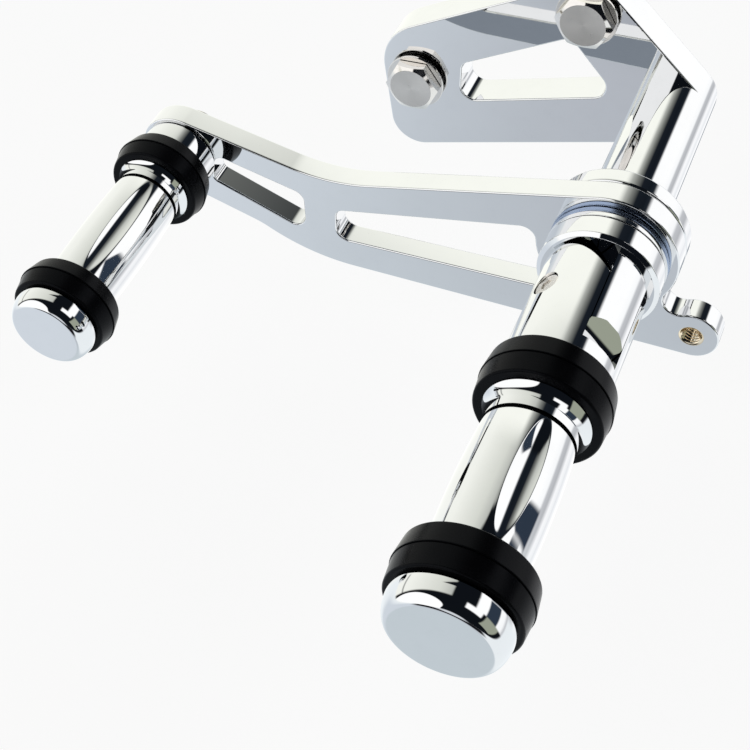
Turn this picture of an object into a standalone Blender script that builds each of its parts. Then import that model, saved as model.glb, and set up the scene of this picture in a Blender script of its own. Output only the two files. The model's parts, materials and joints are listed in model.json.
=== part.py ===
"""Motorcycle forward control, left-hand (gear shift) side, ready to bolt to a frame.

Axes: +Y points at the frame, -Y points outboard along the pegs, +Z is up, -X is forward on the bike.
Origin: on the shaft axis, in the back face of the bracket plate.
"""
import bpy
import bmesh
from math import acos, atan2, ceil, cos, hypot, pi, radians, sin, tan
from mathutils import Matrix

MM = 0.001
RUNNING_GAP = 0.3 * MM          # air between two pieces that touch on the real control
FULL_TURN = 2 * pi
TOUCHING = 0.01 * MM            # arcs whose common tangent is shorter than this touch

# Bracket plate: its corners are arcs round the shaft, the two bolts and two set-off centres
PLATE_THICKNESS = 12.7 * MM
PLATE_CHAMFER = 0.5 * MM
FRONT_BOLT_X = -89.7 * MM
FRONT_BOLT_Z = -12.5 * MM
REAR_BOLT_X = -31.6 * MM
REAR_BOLT_Z = 30.4 * MM
REAR_CORNER_RADIUS = 11.3 * MM
UPPER_CORNER_RADIUS = 19.0 * MM
UPPER_CORNER_SETBACK_X = 6.1 * MM
UPPER_CORNER_RISE = 4.3 * MM
LOWER_CORNER_RADIUS = 10.5 * MM
LOWER_CORNER_SETBACK_X = 0.9 * MM
LOWER_CORNER_DROP = 18.7 * MM

# Lightening window in the plate, a triangle with a blunt forward end
WINDOW_FORWARD_RADIUS_LOW = 5.0 * MM
WINDOW_FORWARD_RADIUS_HIGH = 4.0 * MM
WINDOW_SHAFT_RADIUS = 5.0 * MM
WINDOW_TOP_RADIUS = 4.0 * MM
WINDOW_TO_FRONT_BOLT = 16.1 * MM     # bolt centre to the window's forward wall
WINDOW_LOW_CENTRE_RISE = 1.6 * MM    # above the front bolt
WINDOW_HIGH_CENTRE_RISE = 8.3 * MM
WINDOW_SHAFT_CENTRE_X = -27.75 * MM
WINDOW_SHAFT_CENTRE_Z = 2.7 * MM
WINDOW_TOP_FORWARD = 5.7 * MM        # window's top corner centre from the rear bolt
WINDOW_TOP_DROP = 16.1 * MM

# Boss that stands out of the plate and takes the peg mount's stud
BOSS_RADIUS = 12.7 * MM
BOSS_LENGTH = 57.5 * MM
BOSS_CHAMFER = 0.8 * MM
BOSS_BORE_DEPTH = 38.0 * MM
BOSS_PROUD = 0.3 * MM                # boss wall outside the plate's end arc

# Pieces strung on the stud between boss and collar
FLANGE_RADIUS = 21.85 * MM
FLANGE_THICKNESS = 6.1 * MM
FLANGE_CHAMFER = 1.0 * MM
THRUST_WASHER_RADIUS = 19.0 * MM
THRUST_WASHER_THICKNESS = 1.8 * MM
THRUST_WASHER_CHAMFER = 0.4 * MM
BUSH_WALL = 1.7 * MM
BUSH_CHAMFER = 0.3 * MM

# Peg mount: stud, collar and the tongue the peg folds on
STUD_RADIUS = 8.0 * MM
STUD_END_CHAMFER = 1.5 * MM
STUD_END_CLEARANCE = 2.0 * MM
COLLAR_RADIUS = 19.0 * MM
COLLAR_LENGTH = 8.0 * MM
COLLAR_FACE_RADIUS = 17.6 * MM
COLLAR_FACE_STEP = 0.85 * MM         # length of the cone between collar and face
COLLAR_BACK_CHAMFER = 0.4 * MM
TONGUE_THICKNESS = 14.1 * MM
TONGUE_END_RADIUS = 18.0 * MM
FOLD_AXIS_TILT = radians(45)         # the pin leans this far forward from upright
FORK_TIP_CLEARANCE = 0.85 * MM       # ear tip to collar face
FORK_SLOT_BEYOND_PIN = 18.8 * MM
FORK_NOSE_EASE = 0.05 * MM           # the ears' nose arc over the neck radius

# Shift lever: a flat bar outline, all of it arcs joined by their common tangents
LEVER_THICKNESS = 8.0 * MM
LEVER_CHAMFER = 0.6 * MM
LEVER_HUB_RADIUS = 21.85 * MM
TOE_PEG_X = -145.7 * MM
TOE_PEG_Z = -7.6 * MM
TOE_END_RADIUS = 13.6 * MM
VALLEY_X = -95.3 * MM
VALLEY_LOWEST = -1.8 * MM            # lowest point of the dip in the top edge
VALLEY_RADIUS = 60.0 * MM
BELLY_X = -86.2 * MM
BELLY_LOWEST = -37.2 * MM            # lowest point of the lower edge
BELLY_RADIUS = 66.0 * MM
THROAT_X = -128.3 * MM               # hollow that runs straight into the belly
THROAT_RADIUS = 30.0 * MM
TAB_X = 29.7 * MM
TAB_Z = -24.7 * MM
TAB_RADIUS = 8.65 * MM
TAB_HOLE_RADIUS = 3.5 * MM
TAB_FILLET_RADIUS = 5.0 * MM

# Front slot of the lever, arc centres measured from the toe peg
FRONT_SLOT_ARCS = (
    (15.3 * MM, -1.3 * MM, 3.6 * MM),
    (13.7 * MM, -6.1 * MM, 2.2 * MM),
    (40.3 * MM, -13.6 * MM, 4.0 * MM),
    (40.1 * MM, -6.9 * MM, 4.0 * MM),
)

# Rear slot of the lever, which follows the hub at its rear end
REAR_SLOT_HUB_RADIUS = 23.3 * MM
REAR_SLOT_TOP_CORNER_RADIUS = 4.5 * MM
REAR_SLOT_TOP_CORNER_Z = -3.1 * MM
REAR_SLOT_LOW_CORNER_RADIUS = 3.2 * MM
REAR_SLOT_LOW_CORNER_Z = -18.5 * MM
REAR_SLOT_FRONT_X = -90.2 * MM
REAR_SLOT_FRONT_LOW_RADIUS = 4.5 * MM
REAR_SLOT_FRONT_LOW_Z = -21.5 * MM
REAR_SLOT_FRONT_TOP_RADIUS = 3.2 * MM
REAR_SLOT_FRONT_TOP_Z = -16.6 * MM

# Foot peg, turned in one piece behind and between its two rubber rings
PEG_NECK_RADIUS = 16.35 * MM
PEG_NECK_LENGTH = 25.45 * MM         # pin to the inner ring
PEG_LIP_RADIUS = 15.95 * MM
PEG_LIP_LENGTH = 6.0 * MM
PEG_BARREL_LENGTH = 52.2 * MM        # between the two rings
PEG_BARREL_END_RADIUS = 13.65 * MM
PEG_BARREL_CROWN = 0.7 * MM
PEG_CAP_RADIUS = 17.5 * MM
PEG_CAP_LENGTH = 8.5 * MM
PEG_CAP_FACE_RADIUS = 13.9 * MM
PEG_CAP_BACK_BEVEL = 0.8 * MM
RING_LENGTH = 14.2 * MM
RING_PROUD = 2.65 * MM               # ring edge outside the neck
RING_CREST = 0.9 * MM
RING_EDGE_CHAMFER = 0.8 * MM
RING_SEAT_DEPTH = 3.2 * MM           # groove depth under the neck

# Toe peg, the same design at its own smaller size
TOE_NECK_RADIUS = 12.6 * MM
TOE_NECK_LENGTH = 8.3 * MM
TOE_LIP_RADIUS = 12.2 * MM
TOE_LIP_LENGTH = 4.2 * MM
TOE_BARREL_LENGTH = 49.7 * MM
TOE_BARREL_END_RADIUS = 10.6 * MM
TOE_BARREL_CROWN = 0.5 * MM
TOE_CAP_RADIUS = 13.3 * MM
TOE_CAP_LENGTH = 6.7 * MM
TOE_CAP_FACE_RADIUS = 10.2 * MM
TOE_CAP_BACK_BEVEL = 0.6 * MM
TOE_RING_LENGTH = 10.9 * MM
TOE_RING_PROUD = 2.1 * MM
TOE_RING_CREST = 1.3 * MM
TOE_RING_EDGE_CHAMFER = 0.6 * MM
TOE_RING_SEAT_DEPTH = 2.6 * MM

# Screw that holds the toe peg from behind the lever
TOE_SCREW_RADIUS = 4.0 * MM
TOE_SCREW_HEAD_RADIUS = 6.5 * MM
TOE_SCREW_HEAD_LENGTH = 5.0 * MM
TOE_SCREW_IN_PEG = 22.0 * MM
TOE_SCREW_END_CLEARANCE = 2.0 * MM
TOE_SCREW_SOCKET_FLATS = 5.0 * MM
TOE_WASHER_RADIUS = 8.0 * MM
TOE_WASHER_THICKNESS = 1.5 * MM

# Fold pin: a socket screw through both ears and the tongue
PIN_RADIUS = 3.0 * MM
PIN_HEAD_RADIUS = 4.1 * MM
PIN_HEAD_LENGTH = 4.0 * MM
PIN_HEAD_RECESS = 0.8 * MM           # below the ear's outer surface, measured on the pin axis
PIN_END_COVER = 3.0 * MM             # metal left outside the blind end of the pin hole
PIN_SOCKET_FLATS = 4.0 * MM
SOCKET_DEPTH = 2.6 * MM
SCREW_EDGE_CHAMFER = 0.4 * MM

# Bolts that hold the bracket to the frame, each with a flat and a lock washer
BOLT_RADIUS = 5.0 * MM
BOLT_FLATS = 17.0 * MM
FRONT_BOLT_TURN = radians(35)
REAR_BOLT_TURN = radians(31)
BOLT_HEAD_LENGTH = 4.0 * MM
BOLT_CONE = radians(30)              # slope that takes the corners off the head
BOLT_FACE_INSET = 0.4 * MM           # round face inside the flats
BOLT_REACH = 20.0 * MM               # thread left beyond the plate for the frame
BOLT_END_CHAMFER = 1.2 * MM
BOLT_HOLE_CLEARANCE = 0.5 * MM
FLAT_WASHER_OVERHANG = 1.9 * MM      # beyond the flats of the head
FLAT_WASHER_THICKNESS = 1.0 * MM
WASHER_CHAMFER = 0.2 * MM
LOCK_WASHER_WALL = 3.6 * MM
LOCK_WASHER_THICKNESS = 1.0 * MM
LOCK_WASHER_SPLIT = radians(9)

# Cutters reach this far past the metal they cut
CUT_PAST = 1.0 * MM

# Fineness of round work
MERGE_DISTANCE = 0.002 * MM
SHARP_EDGE = radians(20)
ROUND_SEGMENTS = 44
TOE_SEGMENTS = 36
SMALL_SEGMENTS = 24
SMALL_BELOW = 9.5 * MM
LIP_STEPS = 5
CROWN_STEPS = 7
CAP_STEPS = 6

# Places along the shaft, worked out from the plate outwards
plate_front = -PLATE_THICKNESS
boss_front = plate_front - BOSS_LENGTH
flange_back = boss_front - RUNNING_GAP
flange_front = flange_back - FLANGE_THICKNESS
lever_back = flange_front - RUNNING_GAP
lever_front = lever_back - LEVER_THICKNESS
washer_pitch = THRUST_WASHER_THICKNESS + RUNNING_GAP
rear_washer_back = lever_front - RUNNING_GAP
front_washer_back = rear_washer_back - washer_pitch
collar_back = front_washer_back - washer_pitch
collar_face = collar_back - COLLAR_LENGTH
pin_y = collar_face - FORK_TIP_CLEARANCE - FORK_NOSE_EASE - PEG_NECK_RADIUS
fork_slot_end = pin_y - FORK_SLOT_BEYOND_PIN
hub_bore_radius = STUD_RADIUS + BUSH_WALL + 2 * RUNNING_GAP


# Flat outlines

def segments_for(radius):
    """Facets in a full turn of this radius."""
    return SMALL_SEGMENTS if abs(radius) < SMALL_BELOW else ROUND_SEGMENTS


def belt(arcs, inset=0.0):
    """Outline of arcs joined by tangents, counter-clockwise; a negative radius bends inwards."""
    points = []
    normals = []
    for index, (x0, z0, r0) in enumerate(arcs):
        x1, z1, r1 = arcs[(index + 1) % len(arcs)]
        ratio = (r0 - r1) / hypot(x1 - x0, z1 - z0)
        normals.append(atan2(z1 - z0, x1 - x0) - acos(max(-1.0, min(1.0, ratio))))
    for index, (x, z, radius) in enumerate(arcs):
        start = normals[index - 1]
        if radius > 0:
            sweep = (normals[index] - start) % FULL_TURN
        else:
            sweep = -((start - normals[index]) % FULL_TURN)
        steps = max(1, ceil(abs(sweep) * segments_for(radius) / FULL_TURN))
        before_x, before_z, before_radius = arcs[index - 1]
        tangent = hypot(x - before_x, z - before_z) ** 2 - (before_radius - radius) ** 2
        first = 1 if tangent < TOUCHING ** 2 else 0      # the last arc ended on this point
        for step in range(first, steps + 1):
            angle = start + sweep * step / steps
            reach = radius - inset
            points.append((x + reach * cos(angle), z + reach * sin(angle)))
    return points


def disc(x, z, radius, inset=0.0):
    """Outline of a full circle."""
    count = segments_for(radius)
    reach = radius - inset
    angles = [FULL_TURN * step / count for step in range(count)]
    return [(x + reach * cos(angle), z + reach * sin(angle)) for angle in angles]


# Solids

def add_object(name, mesh, parent=None, location=(0, 0, 0), rotation=(0, 0, 0)):
    """Link a mesh to the scene as a named object."""
    thing = bpy.data.objects.new(name, mesh)
    bpy.context.scene.collection.objects.link(thing)
    thing.parent = parent
    thing.location = location
    thing.rotation_euler = rotation
    return thing


def finish_mesh(name, bm):
    """Close off a bmesh: faces outwards, round parts smooth."""
    bmesh.ops.remove_doubles(bm, verts=bm.verts[:], dist=MERGE_DISTANCE)
    bmesh.ops.recalc_face_normals(bm, faces=bm.faces[:])
    mesh = bpy.data.meshes.new(name)
    bm.to_mesh(mesh)
    bm.free()
    mesh.shade_smooth()
    mesh.set_sharp_from_angle(angle=SHARP_EDGE)
    return mesh


def turned(name, profile, segments=ROUND_SEGMENTS):
    """Lathe work round the Y axis: profile is (y, radius) down the outside, and back up a bore."""
    bm = bmesh.new()
    rings = []
    for y, radius in profile:
        if radius == 0:
            rings.append([bm.verts.new((0, y, 0))])
            continue
        angles = [FULL_TURN * step / segments for step in range(segments)]
        rings.append([bm.verts.new((radius * cos(a), y, radius * sin(a))) for a in angles])
    has_poles = len(rings[0]) == 1 and len(rings[-1]) == 1
    pairs = list(zip(rings, rings[1:]))
    if not has_poles:
        pairs.append((rings[-1], rings[0]))
    for one, two in pairs:
        for step in range(segments):
            after = (step + 1) % segments
            if len(one) == 1:
                bm.faces.new((one[0], two[step], two[after]))
            elif len(two) == 1:
                bm.faces.new((two[0], one[after], one[step]))
            else:
                bm.faces.new((one[step], one[after], two[after], two[step]))
    return finish_mesh(name, bm)


def plate(name, outline, holes, back, front, chamfer):
    """Flat bar work: outline and holes are functions of an inset, cut along Y."""
    bm = bmesh.new()
    levels = ((back, chamfer), (back - chamfer, 0.0), (front + chamfer, 0.0), (front, chamfer))
    if chamfer == 0:
        levels = ((back, 0.0), (front, 0.0))
    cap_edges = {0: [], len(levels) - 1: []}
    for shape, side in [(outline, 1)] + [(hole, -1) for hole in holes]:
        loops = []
        for y, inset in levels:
            loops.append([bm.verts.new((x, y, z)) for x, z in shape(side * inset)])
        for level, edges in cap_edges.items():
            loop = loops[level]
            edges.extend(bm.edges.new(pair) for pair in zip(loop, loop[1:] + loop[:1]))
        for one, two in zip(loops, loops[1:]):
            for a, b, c, d in zip(one, one[1:] + one[:1], two[1:] + two[:1], two):
                bm.faces.new((a, b, c, d))
    for edges in cap_edges.values():
        bmesh.ops.triangle_fill(bm, edges=edges, use_beauty=True, use_dissolve=False)
    return finish_mesh(name, bm)


def hex_outline(flats, turn=0.0):
    """A hexagon's outline as a function of inset, measured across its flats."""
    def outline(inset):
        reach = (flats / 2 - inset) / cos(pi / 6)
        corners = [turn + pi / 6 + step * pi / 3 for step in range(6)]
        return [(reach * cos(angle), reach * sin(angle)) for angle in corners]
    return outline


def operand(name, mesh, parent=None, location=(0, 0, 0), rotation=(0, 0, 0)):
    """A hidden object that only takes part in a Boolean."""
    thing = add_object(name, mesh, parent, location, rotation)
    thing.hide_render = True
    thing.display_type = 'WIRE'
    return thing


def combine(thing, operation, other):
    """Add a Boolean between two objects."""
    step = thing.modifiers.new(other.name, 'BOOLEAN')
    step.operation = operation
    step.solver = 'EXACT'
    step.object = other


def paint(thing, material_name, colour, roughness, metallic):
    """Give an object its own material."""
    material = bpy.data.materials.new(f"{material_name}_{thing.name}")
    material.use_nodes = True
    shader = material.node_tree.nodes["Principled BSDF"]
    shader.inputs["Base Color"].default_value = (*colour, 1.0)
    shader.inputs["Roughness"].default_value = roughness
    shader.inputs["Metallic"].default_value = metallic
    thing.data.materials.append(material)


def chrome(thing):
    paint(thing, "chrome", (0.86, 0.87, 0.88), 0.04, 1.0)


def stainless(thing):
    paint(thing, "stainless", (0.55, 0.53, 0.50), 0.28, 1.0)


def blued_steel(thing):
    paint(thing, "blued_steel", (0.38, 0.44, 0.52), 0.2, 1.0)


def dark_steel(thing):
    paint(thing, "dark_steel", (0.05, 0.05, 0.055), 0.4, 1.0)


def bronze(thing):
    paint(thing, "bronze", (0.55, 0.36, 0.16), 0.35, 1.0)


def rubber(thing):
    paint(thing, "rubber", (0.015, 0.015, 0.016), 0.55, 0.0)


# Bracket

def bracket_outline(inset):
    upper_x = FRONT_BOLT_X + UPPER_CORNER_SETBACK_X
    lower_x = FRONT_BOLT_X + LOWER_CORNER_SETBACK_X
    return belt((
        (0.0, 0.0, BOSS_RADIUS - BOSS_PROUD),
        (REAR_BOLT_X, REAR_BOLT_Z, REAR_CORNER_RADIUS),
        (upper_x, FRONT_BOLT_Z + UPPER_CORNER_RISE, UPPER_CORNER_RADIUS),
        (lower_x, FRONT_BOLT_Z - LOWER_CORNER_DROP, LOWER_CORNER_RADIUS),
    ), inset)


def window_outline(inset):
    forward_wall = FRONT_BOLT_X + WINDOW_TO_FRONT_BOLT
    high_z = FRONT_BOLT_Z + WINDOW_HIGH_CENTRE_RISE
    low_z = FRONT_BOLT_Z + WINDOW_LOW_CENTRE_RISE
    top_x = REAR_BOLT_X - WINDOW_TOP_FORWARD
    return belt((
        (WINDOW_SHAFT_CENTRE_X, WINDOW_SHAFT_CENTRE_Z, WINDOW_SHAFT_RADIUS),
        (top_x, REAR_BOLT_Z - WINDOW_TOP_DROP, WINDOW_TOP_RADIUS),
        (forward_wall + WINDOW_FORWARD_RADIUS_HIGH, high_z, WINDOW_FORWARD_RADIUS_HIGH),
        (forward_wall + WINDOW_FORWARD_RADIUS_LOW, low_z, WINDOW_FORWARD_RADIUS_LOW),
    ), inset)


def front_bolt_hole(inset):
    return disc(FRONT_BOLT_X, FRONT_BOLT_Z, BOLT_RADIUS + BOLT_HOLE_CLEARANCE, inset)


def rear_bolt_hole(inset):
    return disc(REAR_BOLT_X, REAR_BOLT_Z, BOLT_RADIUS + BOLT_HOLE_CLEARANCE, inset)


def build_bracket():
    holes = [window_outline, front_bolt_hole, rear_bolt_hole]
    plate_mesh = plate("mount_bracket", bracket_outline, holes, 0.0, plate_front, PLATE_CHAMFER)
    bracket = add_object("mount_bracket", plate_mesh)
    bore_radius = STUD_RADIUS + RUNNING_GAP
    root = -PLATE_CHAMFER                     # the boss starts just inside the plate's back face
    boss_mesh = turned("boss", [
        (root, 0),
        (root, BOSS_RADIUS - BOSS_CHAMFER),
        (root - BOSS_CHAMFER, BOSS_RADIUS),
        (boss_front + BOSS_CHAMFER, BOSS_RADIUS),
        (boss_front, BOSS_RADIUS - BOSS_CHAMFER),
        (boss_front, bore_radius),
        (boss_front + BOSS_BORE_DEPTH, bore_radius),
        (boss_front + BOSS_BORE_DEPTH, 0),
    ])
    combine(bracket, 'UNION', operand("boss", boss_mesh))
    chrome(bracket)


# Bracket bolts and their washers

def build_bolt(end, x, z, turn):
    """One bracket bolt with the washers under its head."""
    place = (x, 0, z)
    lock_back = plate_front - RUNNING_GAP
    flat_back = lock_back - LOCK_WASHER_THICKNESS - RUNNING_GAP
    head_back = flat_back - FLAT_WASHER_THICKNESS - RUNNING_GAP
    head_front = head_back - BOLT_HEAD_LENGTH
    blank_radius = BOLT_FLATS / 2 / cos(pi / 6) + CUT_PAST
    face_radius = BOLT_FLATS / 2 - BOLT_FACE_INSET
    blank = turned(f"bracket_bolt_{end}", [
        (BOLT_REACH, 0),
        (BOLT_REACH, BOLT_RADIUS - BOLT_END_CHAMFER),
        (BOLT_REACH - BOLT_END_CHAMFER, BOLT_RADIUS),
        (head_back, BOLT_RADIUS),
        (head_back, blank_radius),
        (head_front + (blank_radius - face_radius) * tan(BOLT_CONE), blank_radius),
        (head_front, face_radius),
        (head_front, 0),
    ], SMALL_SEGMENTS)
    bolt = add_object(f"bracket_bolt_{end}", blank, location=place)
    hexagon = hex_outline(BOLT_FLATS, turn)
    bar = plate(f"hex_bar_{end}", hexagon, [], BOLT_REACH + CUT_PAST, head_front - CUT_PAST, 0.0)
    combine(bolt, 'INTERSECT', operand(f"hex_bar_{end}", bar, location=place))
    stainless(bolt)

    inner = BOLT_RADIUS + RUNNING_GAP
    outer = BOLT_FLATS / 2 + FLAT_WASHER_OVERHANG
    flat_mesh = ring_mesh(f"flat_washer_{end}", inner, outer, flat_back, FLAT_WASHER_THICKNESS,
                          WASHER_CHAMFER, SMALL_SEGMENTS)
    stainless(add_object(f"flat_washer_{end}", flat_mesh, location=place))

    lock_mesh = split_ring(f"lock_washer_{end}", inner, inner + LOCK_WASHER_WALL, lock_back, turn)
    dark_steel(add_object(f"lock_washer_{end}", lock_mesh, location=place))


def ring_mesh(name, inner, outer, back, thickness, chamfer, segments=ROUND_SEGMENTS):
    """A plain washer with its outer corners broken."""
    front = back - thickness
    return turned(name, [
        (back, inner),
        (back, outer - chamfer),
        (back - chamfer, outer),
        (front + chamfer, outer),
        (front, outer - chamfer),
        (front, inner),
    ], segments)


def split_ring(name, inner, outer, back, turn):
    """A lock washer: a square-section ring with a gap in it."""
    front = back - LOCK_WASHER_THICKNESS
    bm = bmesh.new()
    sections = []
    for step in range(SMALL_SEGMENTS + 1):
        sweep = (FULL_TURN - LOCK_WASHER_SPLIT) * step / SMALL_SEGMENTS
        angle = turn + LOCK_WASHER_SPLIT / 2 + sweep
        corners = ((inner, back), (outer, back), (outer, front), (inner, front))
        sections.append([bm.verts.new((r * cos(angle), y, r * sin(angle))) for r, y in corners])
    for one, two in zip(sections, sections[1:]):
        for a, b, c, d in zip(one, one[1:] + one[:1], two[1:] + two[:1], two):
            bm.faces.new((a, b, c, d))
    bm.faces.new(sections[0])
    bm.faces.new(sections[-1])
    return finish_mesh(name, bm)


# Pieces strung on the stud

def build_stack():
    inner = STUD_RADIUS + RUNNING_GAP
    flange = ring_mesh("boss_flange", inner, FLANGE_RADIUS, flange_back, FLANGE_THICKNESS, FLANGE_CHAMFER)
    chrome(add_object("boss_flange", flange))
    for end, back in (("rear", rear_washer_back), ("front", front_washer_back)):
        name = f"thrust_washer_{end}"
        washer = ring_mesh(name, inner, THRUST_WASHER_RADIUS, back, THRUST_WASHER_THICKNESS,
                           THRUST_WASHER_CHAMFER)
        blued_steel(add_object(name, washer))


# Peg mount

def tongue_outline(inset):
    """Side view of the tongue: square towards the ground, round towards the fold."""
    half = PEG_NECK_RADIUS + RUNNING_GAP - inset
    root = collar_face + COLLAR_LENGTH / 2
    square_end = fork_slot_end + RUNNING_GAP
    end_radius = min(TONGUE_END_RADIUS, FORK_SLOT_BEYOND_PIN - RUNNING_GAP)
    arc_start = acos(min(1.0, half / end_radius))
    steps = ROUND_SEGMENTS // 4
    points = [(half, root), (-half, root), (-half, square_end), (0.0, square_end)]
    for step in range(steps + 1):
        angle = pi / 2 + (arc_start - pi / 2) * step / steps
        points.append((end_radius * cos(angle), pin_y - end_radius * sin(angle)))
    return points


def slab(name, outline, half_thickness):
    """A side-view outline in X and Y, as thick as stated each way along Z."""
    bm = bmesh.new()
    low = [bm.verts.new((x, y, -half_thickness)) for x, y in outline]
    high = [bm.verts.new((x, y, half_thickness)) for x, y in outline]
    for a, b, c, d in zip(low, low[1:] + low[:1], high[1:] + high[:1], high):
        bm.faces.new((a, b, c, d))
    bm.faces.new(low)
    bm.faces.new(high)
    return finish_mesh(name, bm)


def pin_hole_mesh(name):
    """Cutter for the pin, head side at +Y, as tall as the pin with its clearance."""
    head_top = PEG_NECK_RADIUS * 2
    seat = PEG_NECK_RADIUS - PIN_HEAD_RECESS - PIN_HEAD_LENGTH - RUNNING_GAP
    bottom = PIN_END_COVER - PEG_NECK_RADIUS
    return turned(name, [
        (head_top, 0),
        (head_top, PIN_HEAD_RADIUS + RUNNING_GAP),
        (seat, PIN_HEAD_RADIUS + RUNNING_GAP),
        (seat, PIN_RADIUS + RUNNING_GAP),
        (bottom, PIN_RADIUS + RUNNING_GAP),
        (bottom, 0),
    ], SMALL_SEGMENTS)


def build_peg_mount():
    stud_end = boss_front + BOSS_BORE_DEPTH - STUD_END_CLEARANCE
    body = turned("peg_mount", [
        (stud_end, 0),
        (stud_end, STUD_RADIUS - STUD_END_CHAMFER),
        (stud_end - STUD_END_CHAMFER, STUD_RADIUS),
        (collar_back, STUD_RADIUS),
        (collar_back, COLLAR_RADIUS - COLLAR_BACK_CHAMFER),
        (collar_back - COLLAR_BACK_CHAMFER, COLLAR_RADIUS),
        (collar_face + COLLAR_FACE_STEP, COLLAR_RADIUS),
        (collar_face, COLLAR_FACE_RADIUS),
        (collar_face, 0),
    ])
    mount = add_object("peg_mount", body)
    lean = (0, -FOLD_AXIS_TILT, 0)
    tongue_mesh = slab("tongue", tongue_outline(0.0), TONGUE_THICKNESS / 2)
    tongue = operand("tongue", tongue_mesh, rotation=lean)
    over = 2 * PEG_NECK_RADIUS
    round_mesh = turned("tongue_round", [
        (collar_back - COLLAR_BACK_CHAMFER, 0),
        (collar_back - COLLAR_BACK_CHAMFER, PEG_NECK_RADIUS),
        (pin_y - over, PEG_NECK_RADIUS),
        (pin_y - over, 0),
    ])
    combine(tongue, 'INTERSECT', operand("tongue_round", round_mesh))
    combine(mount, 'UNION', tongue)
    hole = operand("tongue_pin_hole", pin_hole_mesh("tongue_pin_hole"), location=(0, pin_y, 0))
    hole.rotation_euler = (Matrix.Rotation(-FOLD_AXIS_TILT, 4, 'Y') @ Matrix.Rotation(pi / 2, 4, 'X')).to_euler()
    combine(mount, 'DIFFERENCE', hole)
    chrome(mount)


# Shift lever

def lever_outline(inset):
    tab_distance = hypot(TAB_X, TAB_Z)
    to_hub = LEVER_HUB_RADIUS + TAB_FILLET_RADIUS
    to_tab = TAB_RADIUS + TAB_FILLET_RADIUS
    tab_bearing = atan2(TAB_Z, TAB_X)
    swing = acos((to_hub ** 2 + tab_distance ** 2 - to_tab ** 2) / (2 * to_hub * tab_distance))
    fillet_x = to_hub * cos(tab_bearing + swing)
    fillet_z = to_hub * sin(tab_bearing + swing)
    belly_z = BELLY_LOWEST + BELLY_RADIUS
    throat_drop = ((BELLY_RADIUS + THROAT_RADIUS) ** 2 - (BELLY_X - THROAT_X) ** 2) ** 0.5
    return belt((
        (0.0, 0.0, LEVER_HUB_RADIUS),
        (VALLEY_X, VALLEY_LOWEST + VALLEY_RADIUS, -VALLEY_RADIUS),
        (TOE_PEG_X, TOE_PEG_Z, TOE_END_RADIUS),
        (THROAT_X, belly_z - throat_drop, -THROAT_RADIUS),
        (BELLY_X, belly_z, BELLY_RADIUS),
        (TAB_X, TAB_Z, TAB_RADIUS),
        (fillet_x, fillet_z, -TAB_FILLET_RADIUS),
    ), inset)


def front_slot(inset):
    arcs = [(TOE_PEG_X + x, TOE_PEG_Z + z, radius) for x, z, radius in FRONT_SLOT_ARCS]
    return belt(arcs, inset)


def rear_slot(inset):
    top_reach = REAR_SLOT_HUB_RADIUS + REAR_SLOT_TOP_CORNER_RADIUS
    top_x = -(top_reach ** 2 - REAR_SLOT_TOP_CORNER_Z ** 2) ** 0.5
    low_reach = REAR_SLOT_HUB_RADIUS + REAR_SLOT_LOW_CORNER_RADIUS
    low_x = -(low_reach ** 2 - REAR_SLOT_LOW_CORNER_Z ** 2) ** 0.5
    front_top_x = REAR_SLOT_FRONT_X + REAR_SLOT_FRONT_TOP_RADIUS
    front_low_x = REAR_SLOT_FRONT_X + REAR_SLOT_FRONT_LOW_RADIUS
    return belt((
        (low_x, REAR_SLOT_LOW_CORNER_Z, REAR_SLOT_LOW_CORNER_RADIUS),
        (0.0, 0.0, -REAR_SLOT_HUB_RADIUS),
        (top_x, REAR_SLOT_TOP_CORNER_Z, REAR_SLOT_TOP_CORNER_RADIUS),
        (front_top_x, REAR_SLOT_FRONT_TOP_Z, REAR_SLOT_FRONT_TOP_RADIUS),
        (front_low_x, REAR_SLOT_FRONT_LOW_Z, REAR_SLOT_FRONT_LOW_RADIUS),
    ), inset)


def hub_bore(inset):
    return disc(0.0, 0.0, hub_bore_radius, inset)


def toe_screw_hole(inset):
    return disc(TOE_PEG_X, TOE_PEG_Z, TOE_SCREW_RADIUS + RUNNING_GAP, inset)


def tab_hole(inset):
    return disc(TAB_X, TAB_Z, TAB_HOLE_RADIUS, inset)


def build_lever(pivot):
    holes = [front_slot, rear_slot, hub_bore, toe_screw_hole, tab_hole]
    mesh = plate("shift_lever", lever_outline, holes, lever_back, lever_front, LEVER_CHAMFER)
    chrome(add_object("shift_lever", mesh, pivot))
    inner = STUD_RADIUS + RUNNING_GAP
    bush = ring_mesh("lever_bush", inner, inner + BUSH_WALL, lever_back, LEVER_THICKNESS, BUSH_CHAMFER,
                     SMALL_SEGMENTS)
    bronze(add_object("lever_bush", bush, pivot))


# Pegs and rings

def barrel_profile(start, length, lip_radius, lip_length, end_radius, crown):
    """From the lip behind the inner ring, down a hollow, along the crowned barrel."""
    points = []
    steps = LIP_STEPS
    for step in range(steps + 1):
        turn = pi / 2 * step / steps
        points.append((start - lip_length * sin(turn), end_radius + (lip_radius - end_radius) * cos(turn)))
    straight = length - lip_length
    steps = CROWN_STEPS
    for step in range(1, steps + 1):
        share = step / steps
        swell = crown * 4 * share * (1 - share)
        points.append((start - lip_length - straight * share, end_radius + swell))
    return points


def cap_profile(start, length, radius, face_radius, back_bevel):
    """End cap: bevelled back, then a quarter round down to the flat face."""
    steps = CAP_STEPS
    points = [(start, radius - back_bevel)]
    for step in range(steps + 1):
        turn = pi / 2 * step / steps
        drop = (length - back_bevel) * sin(turn)
        points.append((start - back_bevel - drop, face_radius + (radius - face_radius) * cos(turn)))
    points.append((start - length, 0))
    return points


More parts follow.
